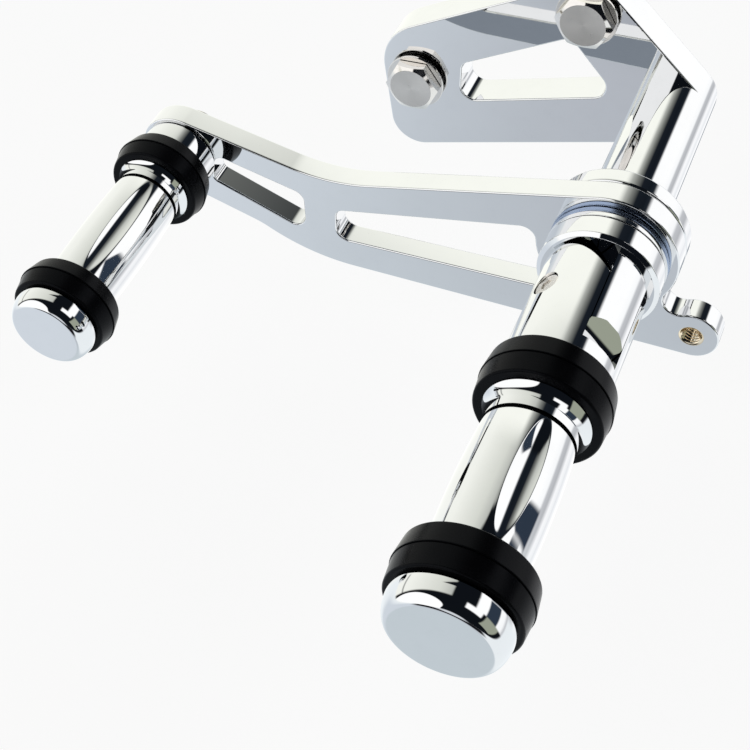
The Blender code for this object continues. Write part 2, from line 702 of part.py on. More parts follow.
def peg_ring(name, seat, back, length, edge, crest, chamfer, segments=ROUND_SEGMENTS):
    """A rubber ring with a low crest round its middle."""
    front = back - length
    middle = (back + front) / 2
    inner = seat + RUNNING_GAP
    return turned(name, [
        (back, inner),
        (back, edge - chamfer),
        (back - chamfer, edge),
        (middle, edge + crest),
        (front + chamfer, edge),
        (front, edge - chamfer),
        (front, inner),
    ], segments)


def groove(points, seat, back, length):
    """Sink a ring's seat into a peg profile, with the running gap at both walls."""
    points.append((back + RUNNING_GAP, seat))
    points.append((back - length - RUNNING_GAP, seat))


def build_foot_peg(fold):
    """The folding peg; everything in it turns on the pin."""
    place = (0, -pin_y, 0)
    inner_ring = pin_y - PEG_NECK_LENGTH
    barrel = inner_ring - RING_LENGTH - RUNNING_GAP
    outer_ring = barrel - PEG_BARREL_LENGTH - RUNNING_GAP
    cap = outer_ring - RING_LENGTH - RUNNING_GAP
    seat = PEG_NECK_RADIUS - RING_SEAT_DEPTH
    nose_radius = PEG_NECK_RADIUS + FORK_NOSE_EASE
    tip = pin_y + nose_radius + PEG_NECK_RADIUS       # turned long, then cut back to the nose
    profile = [(tip, 0), (tip, PEG_NECK_RADIUS), (inner_ring + RUNNING_GAP, PEG_NECK_RADIUS)]
    groove(profile, seat, inner_ring, RING_LENGTH)
    profile += barrel_profile(barrel, PEG_BARREL_LENGTH, PEG_LIP_RADIUS, PEG_LIP_LENGTH,
                              PEG_BARREL_END_RADIUS, PEG_BARREL_CROWN)
    groove(profile, seat, outer_ring, RING_LENGTH)
    profile += cap_profile(cap, PEG_CAP_LENGTH, PEG_CAP_RADIUS, PEG_CAP_FACE_RADIUS, PEG_CAP_BACK_BEVEL)
    core = add_object("foot_peg", turned("foot_peg", profile), fold, place)

    wide = 2 * PEG_CAP_RADIUS
    far = cap - 2 * PEG_CAP_LENGTH
    shoulder = (fork_slot_end + inner_ring) / 2
    steps = ROUND_SEGMENTS // 2
    nose = [pi * step / steps for step in range(steps + 1)]
    outline = [(nose_radius * cos(a), pin_y + nose_radius * sin(a)) for a in nose]
    outline += [(-nose_radius, shoulder), (-wide, shoulder), (-wide, far)]
    outline += [(wide, far), (wide, shoulder), (nose_radius, shoulder)]
    nose_block = operand("fork_nose", slab("fork_nose", outline, wide), fold, place)
    combine(core, 'INTERSECT', nose_block)

    slot_back = tip + PEG_NECK_RADIUS
    slot_outline = [(-wide, fork_slot_end), (wide, fork_slot_end), (wide, slot_back), (-wide, slot_back)]
    slot_mesh = slab("fork_slot", slot_outline, TONGUE_THICKNESS / 2 + RUNNING_GAP)
    combine(core, 'DIFFERENCE', operand("fork_slot", slot_mesh, fold, place))
    upright = (pi / 2, 0, 0)
    hole = operand("fork_pin_hole", pin_hole_mesh("fork_pin_hole"), fold, rotation=upright)
    combine(core, 'DIFFERENCE', hole)
    chrome(core)

    for end, back in (("inner", inner_ring), ("outer", outer_ring)):
        name = f"foot_ring_{end}"
        edge_radius = PEG_NECK_RADIUS + RING_PROUD
        mesh = peg_ring(name, seat, back, RING_LENGTH, edge_radius, RING_CREST, RING_EDGE_CHAMFER)
        rubber(add_object(name, mesh, fold, place))


def socket_screw(name, top, head_radius, head_length, shank_radius, end, socket_flats):
    """A socket screw whose head is at the +Y end, with the object that cuts its hexagon."""
    under_head = top - head_length
    blank = turned(name, [
        (top, 0),
        (top, head_radius - SCREW_EDGE_CHAMFER),
        (top - SCREW_EDGE_CHAMFER, head_radius),
        (under_head, head_radius),
        (under_head, shank_radius),
        (end + SCREW_EDGE_CHAMFER, shank_radius),
        (end, shank_radius - SCREW_EDGE_CHAMFER),
        (end, 0),
    ], SMALL_SEGMENTS)
    key = plate(f"{name}_socket", hex_outline(socket_flats), [], top + CUT_PAST, top - SOCKET_DEPTH, 0.0)
    return blank, key


def build_fold_pin(fold):
    top = PEG_NECK_RADIUS - PIN_HEAD_RECESS
    end = PIN_END_COVER - PEG_NECK_RADIUS + RUNNING_GAP
    blank, key = socket_screw("fold_pin", top, PIN_HEAD_RADIUS, PIN_HEAD_LENGTH, PIN_RADIUS, end,
                              PIN_SOCKET_FLATS)
    upright = (pi / 2, 0, 0)
    pin = add_object("fold_pin", blank, fold, rotation=upright)
    combine(pin, 'DIFFERENCE', operand("fold_pin_socket", key, fold, rotation=upright))
    stainless(pin)


def build_toe_peg(pivot):
    """The toe peg, its rings, and the screw that holds it from behind the lever."""
    place = (TOE_PEG_X, 0, TOE_PEG_Z)
    back = lever_front - RUNNING_GAP
    inner_ring = back - TOE_NECK_LENGTH
    barrel = inner_ring - TOE_RING_LENGTH - RUNNING_GAP
    outer_ring = barrel - TOE_BARREL_LENGTH - RUNNING_GAP
    cap = outer_ring - TOE_RING_LENGTH - RUNNING_GAP
    seat = TOE_NECK_RADIUS - TOE_RING_SEAT_DEPTH
    bore = TOE_SCREW_RADIUS + RUNNING_GAP
    bore_end = back - TOE_SCREW_IN_PEG - TOE_SCREW_END_CLEARANCE
    edge = TOE_RING_EDGE_CHAMFER
    profile = [
        (bore_end, 0),
        (bore_end, bore),
        (back, bore),
        (back, TOE_NECK_RADIUS - edge),
        (back - edge, TOE_NECK_RADIUS),
        (inner_ring + RUNNING_GAP, TOE_NECK_RADIUS),
    ]
    groove(profile, seat, inner_ring, TOE_RING_LENGTH)
    profile += barrel_profile(barrel, TOE_BARREL_LENGTH, TOE_LIP_RADIUS, TOE_LIP_LENGTH,
                              TOE_BARREL_END_RADIUS, TOE_BARREL_CROWN)
    groove(profile, seat, outer_ring, TOE_RING_LENGTH)
    profile += cap_profile(cap, TOE_CAP_LENGTH, TOE_CAP_RADIUS, TOE_CAP_FACE_RADIUS, TOE_CAP_BACK_BEVEL)
    chrome(add_object("toe_peg", turned("toe_peg", profile, TOE_SEGMENTS), pivot, place))

    for end, ring_back in (("inner", inner_ring), ("outer", outer_ring)):
        name = f"toe_ring_{end}"
        edge_radius = TOE_NECK_RADIUS + TOE_RING_PROUD
        mesh = peg_ring(name, seat, ring_back, TOE_RING_LENGTH, edge_radius, TOE_RING_CREST,
                        TOE_RING_EDGE_CHAMFER, TOE_SEGMENTS)
        rubber(add_object(name, mesh, pivot, place))

    washer_back = lever_back + RUNNING_GAP + TOE_WASHER_THICKNESS
    washer = ring_mesh("toe_peg_washer", bore, TOE_WASHER_RADIUS, washer_back, TOE_WASHER_THICKNESS,
                       WASHER_CHAMFER, SMALL_SEGMENTS)
    stainless(add_object("toe_peg_washer", washer, pivot, place))

    top = washer_back + RUNNING_GAP + TOE_SCREW_HEAD_LENGTH
    blank, key = socket_screw("toe_peg_screw", top, TOE_SCREW_HEAD_RADIUS, TOE_SCREW_HEAD_LENGTH,
                              TOE_SCREW_RADIUS, back - TOE_SCREW_IN_PEG, TOE_SCREW_SOCKET_FLATS)
    screw = add_object("toe_peg_screw", blank, pivot, place)
    combine(screw, 'DIFFERENCE', operand("toe_peg_screw_socket", key, pivot, place))
    stainless(screw)


def main():
    for thing in list(bpy.data.objects):
        bpy.data.objects.remove(thing, do_unlink=True)

    lever_pivot = add_object("lever_pivot", None)
    peg_fold = add_object("peg_fold", None, location=(0, pin_y, 0), rotation=(0, -FOLD_AXIS_TILT, 0))

    build_bracket()
    build_bolt("front", FRONT_BOLT_X, FRONT_BOLT_Z, FRONT_BOLT_TURN)
    build_bolt("rear", REAR_BOLT_X, REAR_BOLT_Z, REAR_BOLT_TURN)
    build_stack()
    build_peg_mount()
    build_lever(lever_pivot)
    build_toe_peg(lever_pivot)
    build_foot_peg(peg_fold)
    build_fold_pin(peg_fold)


main()
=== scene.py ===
import json
from math import acos, atan2, ceil, cos, hypot, pi, radians, sin, tan
import bmesh
import bpy
from mathutils import Matrix, Vector
import numpy as np


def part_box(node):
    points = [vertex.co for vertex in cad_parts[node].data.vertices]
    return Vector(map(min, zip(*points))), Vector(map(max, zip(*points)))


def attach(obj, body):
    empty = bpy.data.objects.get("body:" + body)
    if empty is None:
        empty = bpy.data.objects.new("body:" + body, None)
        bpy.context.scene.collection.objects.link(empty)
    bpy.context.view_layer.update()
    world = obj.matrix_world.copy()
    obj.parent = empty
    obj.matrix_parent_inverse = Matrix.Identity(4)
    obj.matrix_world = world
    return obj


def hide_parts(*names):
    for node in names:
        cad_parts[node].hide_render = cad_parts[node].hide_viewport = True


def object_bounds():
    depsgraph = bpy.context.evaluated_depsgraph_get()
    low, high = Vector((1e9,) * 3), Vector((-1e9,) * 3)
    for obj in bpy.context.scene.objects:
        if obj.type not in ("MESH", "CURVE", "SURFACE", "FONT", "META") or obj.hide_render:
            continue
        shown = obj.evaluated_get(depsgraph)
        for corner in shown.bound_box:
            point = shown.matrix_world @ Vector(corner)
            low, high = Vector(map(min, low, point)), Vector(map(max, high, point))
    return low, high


# Left-hand forward control of a motorcycle: bracket, shift lever, toe peg and folding foot peg.
# +Y is towards the motorcycle, +Z up, -X forwards. Lengths are millimetres until a mesh is made.

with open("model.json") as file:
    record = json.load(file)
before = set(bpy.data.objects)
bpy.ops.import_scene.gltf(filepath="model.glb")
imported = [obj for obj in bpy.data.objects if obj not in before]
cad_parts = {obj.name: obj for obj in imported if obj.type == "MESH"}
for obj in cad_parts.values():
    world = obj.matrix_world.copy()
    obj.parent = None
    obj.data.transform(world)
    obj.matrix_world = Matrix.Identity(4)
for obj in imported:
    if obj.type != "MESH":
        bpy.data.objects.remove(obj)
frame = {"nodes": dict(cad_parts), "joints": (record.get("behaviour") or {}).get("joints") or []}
cadBox = [list(corner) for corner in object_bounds()]
mm = 0.001
fullTurn = 2 * pi
air = 0.3                        # between pieces that touch on the real control
spare = 20.0                     # how far a cutting form runs past what it cuts
sameSpot = 1e-4                  # points closer than this are one
onShaft = (0.0, 0.0)             # a turned piece's axis lies along Y at its centre (x, z)
print("frame loaded:", len(frame["nodes"]), "nodes")


def nodeBox(name):
    low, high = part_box(name)
    return low / mm, high / mm


# places shared by several pieces, read off the frame
plateBack = nodeBox("mount_bracket")[1].y
plateFront = nodeBox("lock_washer_front")[1].y + air
bossFront = nodeBox("boss_flange")[1].y + air
leverFront, leverBack = nodeBox("shift_lever")[0].y, nodeBox("shift_lever")[1].y
toeLow, toeHigh = nodeBox("toe_ring_inner")
toeX, toeZ = (toeLow.x + toeHigh.x) / 2, (toeLow.z + toeHigh.z) / 2

# the fold pin: foldTurn's local Z lies along it, its local X the way the peg folds
footFold = next(joint for joint in frame["joints"] if joint["name"] == "peg_fold")
pinY = footFold["pos_m"][1] / mm
foldTurn = Matrix.Rotation(radians(-45), 4, "Y")
pinUpright = Matrix.Translation((0, pinY, 0)) @ foldTurn @ Matrix.Rotation(pi / 2, 4, "X")


# outlines in X and Z, each point with its outward direction

def arcSteps(radius, sweep):
    # a larger arc gets more points
    return max(2, ceil(abs(sweep) * (9 + 1.6 * abs(radius) ** 0.8)))


def belt(arcs, inset=0.0):
    # line drawn tight round circles (x, z, radius); it passes inside one with a negative radius
    bearings = []
    for index, (x0, z0, r0) in enumerate(arcs):
        x1, z1, r1 = arcs[(index + 1) % len(arcs)]
        ratio = (r0 - r1) / hypot(x1 - x0, z1 - z0)
        bearings.append(atan2(z1 - z0, x1 - x0) - acos(max(-1.0, min(1.0, ratio))))
    points = []
    for index, (x, z, radius) in enumerate(arcs):
        start = bearings[index - 1]
        sweep = (bearings[index] - start) % fullTurn
        if radius < 0:
            sweep = -((start - bearings[index]) % fullTurn)
        xb, zb, rb = arcs[index - 1]
        straight = hypot(x - xb, z - zb) ** 2 - (rb - radius) ** 2
        steps = arcSteps(radius, sweep)
        for step in range(1 if straight < sameSpot else 0, steps + 1):
            angle = start + sweep * step / steps
            reach = radius - inset
            points.append((x + reach * cos(angle), z + reach * sin(angle), cos(angle), sin(angle)))
    return points


def disc(x, z, radius, inset=0.0, count=96):
    reach = radius - inset
    turns = [fullTurn * step / count for step in range(count)]
    return [(x + reach * cos(a), z + reach * sin(a), cos(a), sin(a)) for a in turns]


# meshes: corners are eased and normals written, so that polished faces mirror cleanly

easing = {"step": 9, "smoothUnder": 35, "mostOfSide": 0.48}     # degrees, degrees, share


def rawMesh(name, verts, faces):
    mesh = bpy.data.meshes.new(name)
    mesh.from_pydata([Vector(v) * mm for v in verts], [], faces)
    return mesh


def closedMesh(name, verts, faces):
    # closed form whose faces are turned outwards
    mesh = rawMesh(name, verts, faces)
    bm = bmesh.new()
    bm.from_mesh(mesh)
    bmesh.ops.recalc_face_normals(bm, faces=bm.faces[:])
    bm.to_mesh(mesh)
    bm.free()
    return mesh


def smoothUnder(mesh, degrees):
    mesh.shade_smooth()
    mesh.set_sharp_from_angle(angle=radians(degrees))
    return mesh


def newObject(name, data):
    made = bpy.data.objects.new(name, data)
    bpy.context.scene.collection.objects.link(made)
    return made


def easeCorners(points, closed):
    # a point's third number is the radius that rounds its corner
    eased = []
    for index, point in enumerate(points):
        corner = Vector(point[:2])
        ease = point[2] if len(point) > 2 else 0.0
        if ease == 0.0 or (not closed and index in (0, len(points) - 1)):
            eased.append(corner)
            continue
        back = Vector(points[index - 1][:2]) - corner
        ahead = Vector(points[(index + 1) % len(points)][:2]) - corner
        opening = back.angle(ahead)
        most = easing["mostOfSide"]
        reach = min(ease / tan(opening / 2), most * back.length, most * ahead.length)
        radius = reach * tan(opening / 2)
        inward = (back.normalized() + ahead.normalized()).normalized()
        middle = corner + inward * (radius / sin(opening / 2))
        first = corner + back.normalized() * reach - middle
        last = corner + ahead.normalized() * reach - middle
        start = atan2(first.y, first.x)
        sweep = (atan2(last.y, last.x) - start + pi) % fullTurn - pi
        steps = max(3, ceil(abs(sweep) / radians(easing["step"])))
        for step in range(steps + 1):
            angle = start + sweep * step / steps
            eased.append(middle + radius * Vector((cos(angle), sin(angle))))
    return [p for i, p in enumerate(eased) if i == 0 or (p - eased[i - 1]).length > sameSpot]


def profileNormals(points, closed):
    # one outward direction before and one after each point; a shallow corner is smooth
    count = len(points)
    spans = [points[(i + 1) % count] - points[i] for i in range(count if closed else count - 1)]
    facing = [Vector((s.y, -s.x)).normalized() for s in spans]
    before, after = [], []
    for i in range(count):
        hasBefore, hasAfter = closed or i > 0, closed or i < count - 1
        one = facing[i - 1] if hasBefore else facing[i]
        two = facing[i % len(facing)] if hasAfter else facing[i - 1]
        if one.angle(two) < radians(easing["smoothUnder"]):
            back = spans[i - 1].length if hasBefore else 0
            ahead = spans[i % len(spans)].length if hasAfter else 0
            one = two = (one * back + two * ahead).normalized()
        before.append(one)
        after.append(two)
    return before, after


def turned(name, profile, segments=128, closed=False, centre=onShaft, hollow=None):
    # lathe work; profile is (y, radius, easing) down the outside from the +Y end
    points = easeCorners(profile, closed)
    before, after = profileNormals(points, closed)
    angles = [fullTurn * step / segments for step in range(segments)]
    if hollow:
        angles = hollow.angles(segments)
        segments = len(angles)
    cx, cz = centre
    verts, rows = [], []
    for y, radius in points:
        if radius < 1e-6:
            rows.append([len(verts)] * segments)
            verts.append((cx, y, cz))
            continue
        rows.append(list(range(len(verts), len(verts) + segments)))
        for a in angles:
            reach = hollow.reach(y, radius, a) if hollow else radius
            verts.append((cx + reach * cos(a), y, cz + reach * sin(a)))
    faces, normals = [], []
    count = len(points)
    for i in range(count if closed else count - 1):
        k = (i + 1) % count
        for step in range(segments):
            nextStep = (step + 1) % segments
            corners = [(i, step, after[i]), (i, nextStep, after[i]),
                       (k, nextStep, before[k]), (k, step, before[k])]
            if points[i].y < 1e-6:
                corners = [corners[0], corners[2], corners[3]]
            elif points[k].y < 1e-6:
                corners = corners[:3]
            faces.append([rows[row][column] for row, column, _ in corners])
            for row, c, n in corners:
                y, radius = points[row]
                if hollow and n.y > 0.3 and hollow.covers(y):       # the barrel's outer face
                    normals.append(hollow.facing(y, radius, angles[c], n))
                else:
                    normals.append((n.y * cos(angles[c]), n.x, n.y * sin(angles[c])))
    mesh = rawMesh(name, verts, faces)
    mesh.shade_smooth()
    mesh.normals_split_custom_set(normals)
    return mesh


def washer(name, inner, outer, back, front, ease, segments=128, centre=onShaft):
    profile = [(back, inner, ease), (back, outer, ease), (front, outer, ease), (front, inner, ease)]
    return turned(name, profile, segments, True, centre)


def edgeLevels(back, front, ease, steps=5):
    # both rounded-over edges of a flat piece, as (y, inset, outward tilt, outward spread)
    levels = []
    for step in range(steps + 1):
        b = pi / 2 * (1 - step / steps)
        levels.append((back - ease * (1 - sin(b)), ease * (1 - cos(b)), sin(b), cos(b)))
    for step in range(steps + 1):
        b = pi / 2 * step / steps
        levels.append((front + ease * (1 - sin(b)), ease * (1 - cos(b)), -sin(b), cos(b)))
    return levels


def flatWork(name, outline, holes, back, front, ease):
    # bar or plate with rounded-over edges; a hole is a function of inset,
    # or a pair: a function of inset and y, and its own levels
    bm = bmesh.new()
    tips = {}
    rims = {0: [], -1: []}
    for shape, side in [(outline, 1)] + [(hole, -1) for hole in holes]:
        ownLevels = isinstance(shape, tuple)
        form, levels = shape if ownLevels else (shape, edgeLevels(back, front, ease))
        loops = []
        for y, inset, tilt, spread in levels:
            ring = []
            for x, z, nx, nz in form(side * inset, y) if ownLevels else form(side * inset):
                vert = bm.verts.new((x * mm, y * mm, z * mm))
                tips[vert] = Vector()
                if spread is not None:
                    tips[vert] = Vector((side * nx * spread, tilt, side * nz * spread))
                ring.append(vert)
            loops.append(ring)
        for level, edges in rims.items():
            ring = loops[level]
            edges.extend(bm.edges.new(pair) for pair in zip(ring, ring[1:] + ring[:1]))
        for one, two in zip(loops, loops[1:]):
            for corners in zip(one, one[1:] + one[:1], two[1:] + two[:1], two):
                bm.faces.new(corners)
    for edges in rims.values():
        bmesh.ops.triangle_fill(bm, edges=edges, use_beauty=True, use_dissolve=False)
    bmesh.ops.recalc_face_normals(bm, faces=bm.faces[:])
    bm.verts.index_update()
    lean = {vert.index: tip for vert, tip in tips.items()}
    mesh = bpy.data.meshes.new(name)
    bm.to_mesh(mesh)
    bm.free()
    mesh.shade_smooth()
    normals = []
    for face in mesh.polygons:
        flat = abs(face.normal.y) > 0.9999
        for i in face.loop_indices:
            normals.append(face.normal if flat else lean[mesh.loops[i].vertex_index])
    mesh.normals_split_custom_set(normals)
    return mesh


def slab(name, outline, halfThick):
    # flat form whose sides are square to the fold pin
    verts = [foldTurn @ Vector((x, y, z)) for z in (-halfThick, halfThick) for x, y in outline]
    count = len(outline)
    faces = [(i, (i + 1) % count, (i + 1) % count + count, i + count) for i in range(count)]
    faces += [tuple(range(count))[::-1], tuple(range(count, 2 * count))]
    return closedMesh(name, verts, faces)


def moved(mesh, where):
    shift = where.copy()
    shift.translation = shift.translation * mm
    mesh.transform(shift)
    return mesh


def carve(name, mesh, steps):
    # Booleans one after another, each (operation, other mesh)
    body = newObject(name, mesh)
    used = [body]
    for operation, other in steps:
        step = body.modifiers.new(operation, "BOOLEAN")
        step.operation = operation
        step.solver = "EXACT"
        step.object = newObject(name + "Tool", other)
        used.append(step.object)
    result = body.evaluated_get(bpy.context.evaluated_depsgraph_get())
    made = bpy.data.meshes.new_from_object(result)
    for thing in used:
        bpy.data.objects.remove(thing, do_unlink=True)
    made.name = name
    return made


# surfaces give, for a point, how far off it lies and which way the surface faces there

def roundAbout(radius, where=Matrix.Identity(4)):
    # a cylinder round the local Y axis
    back = where.inverted()

    def normalAt(point):
        local = back @ point
        facing = where.to_3x3() @ Vector((local.x, 0, local.z))
        return abs(hypot(local.x, local.z) - radius), facing.normalized()
    return normalAt


def asTurned(profile, centre=onShaft):
    # lathe work
    points = easeCorners(profile, False)
    before, after = profileNormals(points, False)
    starts = np.array([p[:] for p in points[:-1]])
    spans = np.array([(b - a)[:] for a, b in zip(points, points[1:])])
    lengths = (spans ** 2).sum(1)

    def normalAt(point):
        x, z = point.x - centre[0], point.z - centre[1]
        reach = hypot(x, z)
        here = np.array((point.y, reach))
        share = np.clip(((here - starts) * spans).sum(1) / lengths, 0, 1)
        off = ((starts + spans * share[:, None] - here) ** 2).sum(1)
        best = int(off.argmin())
        tilt = after[best].lerp(before[best + 1], float(share[best]))
        reach = max(reach, 1e-6)
        facing = Vector((tilt.y * x / reach, tilt.x, tilt.y * z / reach))
        return off[best] ** 0.5, facing.normalized()
    return normalAt


def trueNormals(mesh, surfaces, near=0.03, aligned=0.86):
    # after a Boolean, each face takes its normals from the surface that it was cut from
    mesh.shade_smooth()
    normals = []
    for face in mesh.polygons:
        corners = [mesh.vertices[mesh.loops[i].vertex_index].co / mm for i in face.loop_indices]
        chosen = [face.normal] * len(corners)
        for surface in surfaces:
            found = [surface(corner) for corner in corners]
            isClose = max(off for off, _ in found) < near
            if isClose and min(n.dot(face.normal) for _, n in found) > aligned:
                chosen = [n for _, n in found]
                break
        normals.extend(chosen)
    mesh.normals_split_custom_set(normals)
    return mesh


def place(name, mesh, material, body, *nodes):
    piece = newObject(name, mesh)
    mesh.materials.clear()
    mesh.materials.append(material)
    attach(piece, body)
    if nodes:
        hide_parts(*nodes)
    return piece


# shader writing

class Desk:
    # one node tree; node() makes any node from its type, settings and socket values or links
    def __init__(self, tree):
        self.tree = tree
        tree.nodes.clear()

    def node(self, kind, settings=None, sockets=None, out=0):
        made = self.tree.nodes.new(kind)
        for key, value in (settings or {}).items():
            if key == "stops":
                self.fillRamp(made.color_ramp.elements, value)
            else:
                setattr(made, key, value)
        for key, value in (sockets or {}).items():
            self.feed(made.inputs[key], value)
        return Wire(self, made.outputs[out]) if len(made.outputs) else made

    def fillRamp(self, elements, stops):
        elements.remove(elements[1])
        for index, (spot, colour) in enumerate(stops):
            stop = elements.new(spot) if index else elements[0]
            stop.position = spot
            stop.color = (*colour, 1.0)

    def feed(self, socket, value):
        if isinstance(value, Wire):
            self.tree.links.new(value.socket, socket)
        elif hasattr(value, "__len__") and len(value) == 3 and len(socket.default_value) == 4:
            socket.default_value = (*value, 1.0)
        else:
            socket.default_value = value

    def maths(self, operation, *values):
        return self.node("ShaderNodeMath", {"operation": operation}, dict(enumerate(values)))

    def mix(self, factor, one, two):
        return self.node("ShaderNodeMix", {"data_type": "RGBA"}, {0: factor, 6: one, 7: two}, 2)


class Wire:
    # a socket that takes part in sums
    def __init__(self, desk, socket):
        self.desk = desk
        self.socket = socket

    def other(self, name):
        return Wire(self.desk, self.socket.node.outputs[name])

    def maths(self, operation, *values):
        return self.desk.maths(operation, self, *values)

    def __add__(self, value):
        return self.maths("ADD", value)

    def __radd__(self, value):
        return self.desk.maths("ADD", value, self)

    def __sub__(self, value):
        return self.maths("SUBTRACT", value)

    def __rsub__(self, value):
        return self.desk.maths("SUBTRACT", value, self)

    def __mul__(self, value):
        return self.maths("MULTIPLY", value)

    def __rmul__(self, value):
        return self.desk.maths("MULTIPLY", value, self)

    def __truediv__(self, value):
        return self.maths("DIVIDE", value)

    def __rtruediv__(self, value):
        return self.desk.maths("DIVIDE", value, self)

    def rise(self, low, high):
        # softly from 0 at low to 1 at high, which may be the lesser
        sockets = {"Value": self, "From Min": low, "From Max": high}
        return self.desk.node("ShaderNodeMapRange", {"interpolation_type": "SMOOTHSTEP"}, sockets)


def newMaterial(name):
    material = bpy.data.materials.new(name)
    material.use_nodes = True
    return material, Desk(material.node_tree)


def objectCoords(desk):
    return desk.node("ShaderNodeTexCoord", out=3)


def noise(desk, coords, scale, detail=3.0, rough=0.5):
    sockets = {"Vector": coords, "Scale": scale, "Detail": detail, "Roughness": rough}
    return desk.node("ShaderNodeTexNoise", None, sockets)


def bump(desk, strength, depth, height):
    sockets = {"Strength": strength, "Distance": depth * mm, "Height": height}
    return desk.node("ShaderNodeBump", None, sockets)


def finishShader(desk, sockets):
    shader = desk.node("ShaderNodeBsdfPrincipled", None, sockets)
    desk.node("ShaderNodeOutputMaterial", None, {"Surface": shader})


# film, smear and waves are noise scales; ripple is how deep the waves are
chromeTune = {"brightTint": (0.80, 0.805, 0.81), "dullTint": (0.77, 0.775, 0.78),
              "softest": 0.015, "roughest": 0.040,
              "film": 45.0, "smear": 260.0, "waves": 110.0, "ripple": 0.003, "bump": 0.12}
bluedTune = dict(chromeTune, brightTint=(0.34, 0.42, 0.58), dullTint=(0.27, 0.34, 0.48),
                 softest=0.22, roughest=0.34)


def chromeLook(name, tune=chromeTune):
    material, desk = newMaterial(name)
    coords = objectCoords(desk)
    film = noise(desk, coords, tune["film"])
    smear = noise(desk, coords, tune["smear"], 4.0, 0.6)
    waves = noise(desk, coords, tune["waves"], 2.0)
    haze = film.rise(0.35, 0.75) * 0.6 + smear.rise(0.45, 0.8) * 0.4
    finishShader(desk, {
        "Base Color": desk.mix(haze, tune["brightTint"], tune["dullTint"]),
        "Metallic": 1.0,
        "Roughness": haze * (tune["roughest"] - tune["softest"]) + tune["softest"],
        "Normal": bump(desk, tune["bump"], tune["ripple"], waves),
    })
    return material


# bloom is the scale of the pale film, grain that of the skin's texture
rubberTune = {"dark": (0.0016, 0.0016, 0.0022), "pale": (0.0040, 0.0040, 0.0050),
              "softest": 0.22, "rougher": 0.12, "shine": 0.065, "shineTint": (0.82, 0.88, 1.0),
              "bloom": 60.0, "grain": 2600.0, "grainDepth": 0.02, "bump": 0.5}


def rubberLook(name, tune=rubberTune):
    material, desk = newMaterial(name)
    coords = objectCoords(desk)
    bloom = noise(desk, coords, tune["bloom"], 4.0)
    grain = noise(desk, coords, tune["grain"], 3.0, 0.6)
    finishShader(desk, {
        "Base Color": desk.mix(bloom.rise(0.3, 0.7), tune["dark"], tune["pale"]),
        "Roughness": bloom.rise(0.3, 0.75) * tune["rougher"] + tune["softest"],
        "Specular IOR Level": tune["shine"],
        "Specular Tint": tune["shineTint"],
        "Normal": bump(desk, tune["bump"], tune["grainDepth"], grain),
    })
    return material


# turning is how strongly the rings show, sheenFan how strongly the painted sheen shows: bright and dark
# sectors painted into the colour for a turned face's highlight;
# rings and blotch are noise scales, darkest is the share of the colour left where it is darkest
steelTune = {"turning": 0.5, "sheenFan": 0.0, "softest": 0.22, "roughest": 0.34,
             "rings": 9000.0, "ringDepth": 0.02, "blotch": 300.0, "darkest": 0.78}
steels = {
    # the bolt face carries a painted sheen: bright and dark sectors round its axis
    "boltFace": {"colour": (0.80, 0.765, 0.72), "turning": 0.25, "softest": 0.24, "sheenFan": 0.5},
    "boltFlats": {"colour": (0.86, 0.83, 0.79), "turning": 0.02, "softest": 0.05, "roughest": 0.12},
    "boltThread": {"colour": (0.66, 0.63, 0.585), "turning": 0.1},
    "flatWasher": {"colour": (0.86, 0.83, 0.79), "turning": 0.1, "softest": 0.08, "roughest": 0.16},
    "toeFixing": {"colour": (0.66, 0.63, 0.585)},
    "pin": {"colour": (1.0, 0.95, 0.88), "turning": 0.03, "softest": 0.24},
    "bush": {"colour": (0.66, 0.44, 0.22), "turning": 0.3},
    "tabThread": {"colour": (1.0, 0.86, 0.64), "turning": 0.05, "softest": 0.12, "roughest": 0.2},
}


def steelLook(name, steel, centre=onShaft):
    # turned steel, with fine rings round the axis at centre, and a painted sheen in sectors where
    # sheenFan is set
    tune = dict(steelTune, **steels[steel])
    material, desk = newMaterial(name)
    coords = objectCoords(desk)
    spot = desk.node("ShaderNodeSeparateXYZ", None, {0: coords})
    x = spot - centre[0] * mm
    z = spot.other("Z") - centre[1] * mm
    reach = (x * x + z * z).maths("SQRT")
    sockets = {"W": reach, "Scale": tune["rings"], "Detail": 2.0}
    streaks = desk.node("ShaderNodeTexNoise", {"noise_dimensions": "1D"}, sockets)
    blotch = noise(desk, coords, tune["blotch"], 3.0)
    shade = streaks * 0.35 + blotch * 0.65
    # painted sheen: bright and dark sectors round the axis stand in for a turned face's highlight
    sectorSheen = (z.maths("ARCTAN2", x) * 2 + 0.6).maths("SINE") * 0.5 + 0.5
    tone = shade * (1 - tune["sheenFan"]) + sectorSheen * tune["sheenFan"]
    darkest = [c * tune["darkest"] for c in tune["colour"]]
    finishShader(desk, {
        "Base Color": desk.mix(tone, darkest, tune["colour"]),
        "Metallic": 1.0,
        "Roughness": shade * (tune["roughest"] - tune["softest"]) + tune["softest"],
        "Normal": bump(desk, tune["turning"], tune["ringDepth"], streaks),
    })
    return material


# near-black steel; its blackness also stands in as painted shade for the gap between the flat washer and
# the plate
shadeBlackTune = {"dark": (0.012, 0.012, 0.013), "pale": (0.035, 0.034, 0.033), "blotch": 400.0,
             "metal": 0.7, "softest": 0.3, "rougher": 0.2}


def shadeBlackSteelLook(name, tune=shadeBlackTune):
    material, desk = newMaterial(name)
    blotch = noise(desk, objectCoords(desk), tune["blotch"], 4.0, 0.6)
    finishShader(desk, {
        "Base Color": desk.mix(blotch.rise(0.35, 0.7), tune["dark"], tune["pale"]),
        "Metallic": tune["metal"],
        "Roughness": blotch * tune["rougher"] + tune["softest"],
    })
    return material


print("looks ready")


# bracket: plate with a window, and the boss in one piece with it

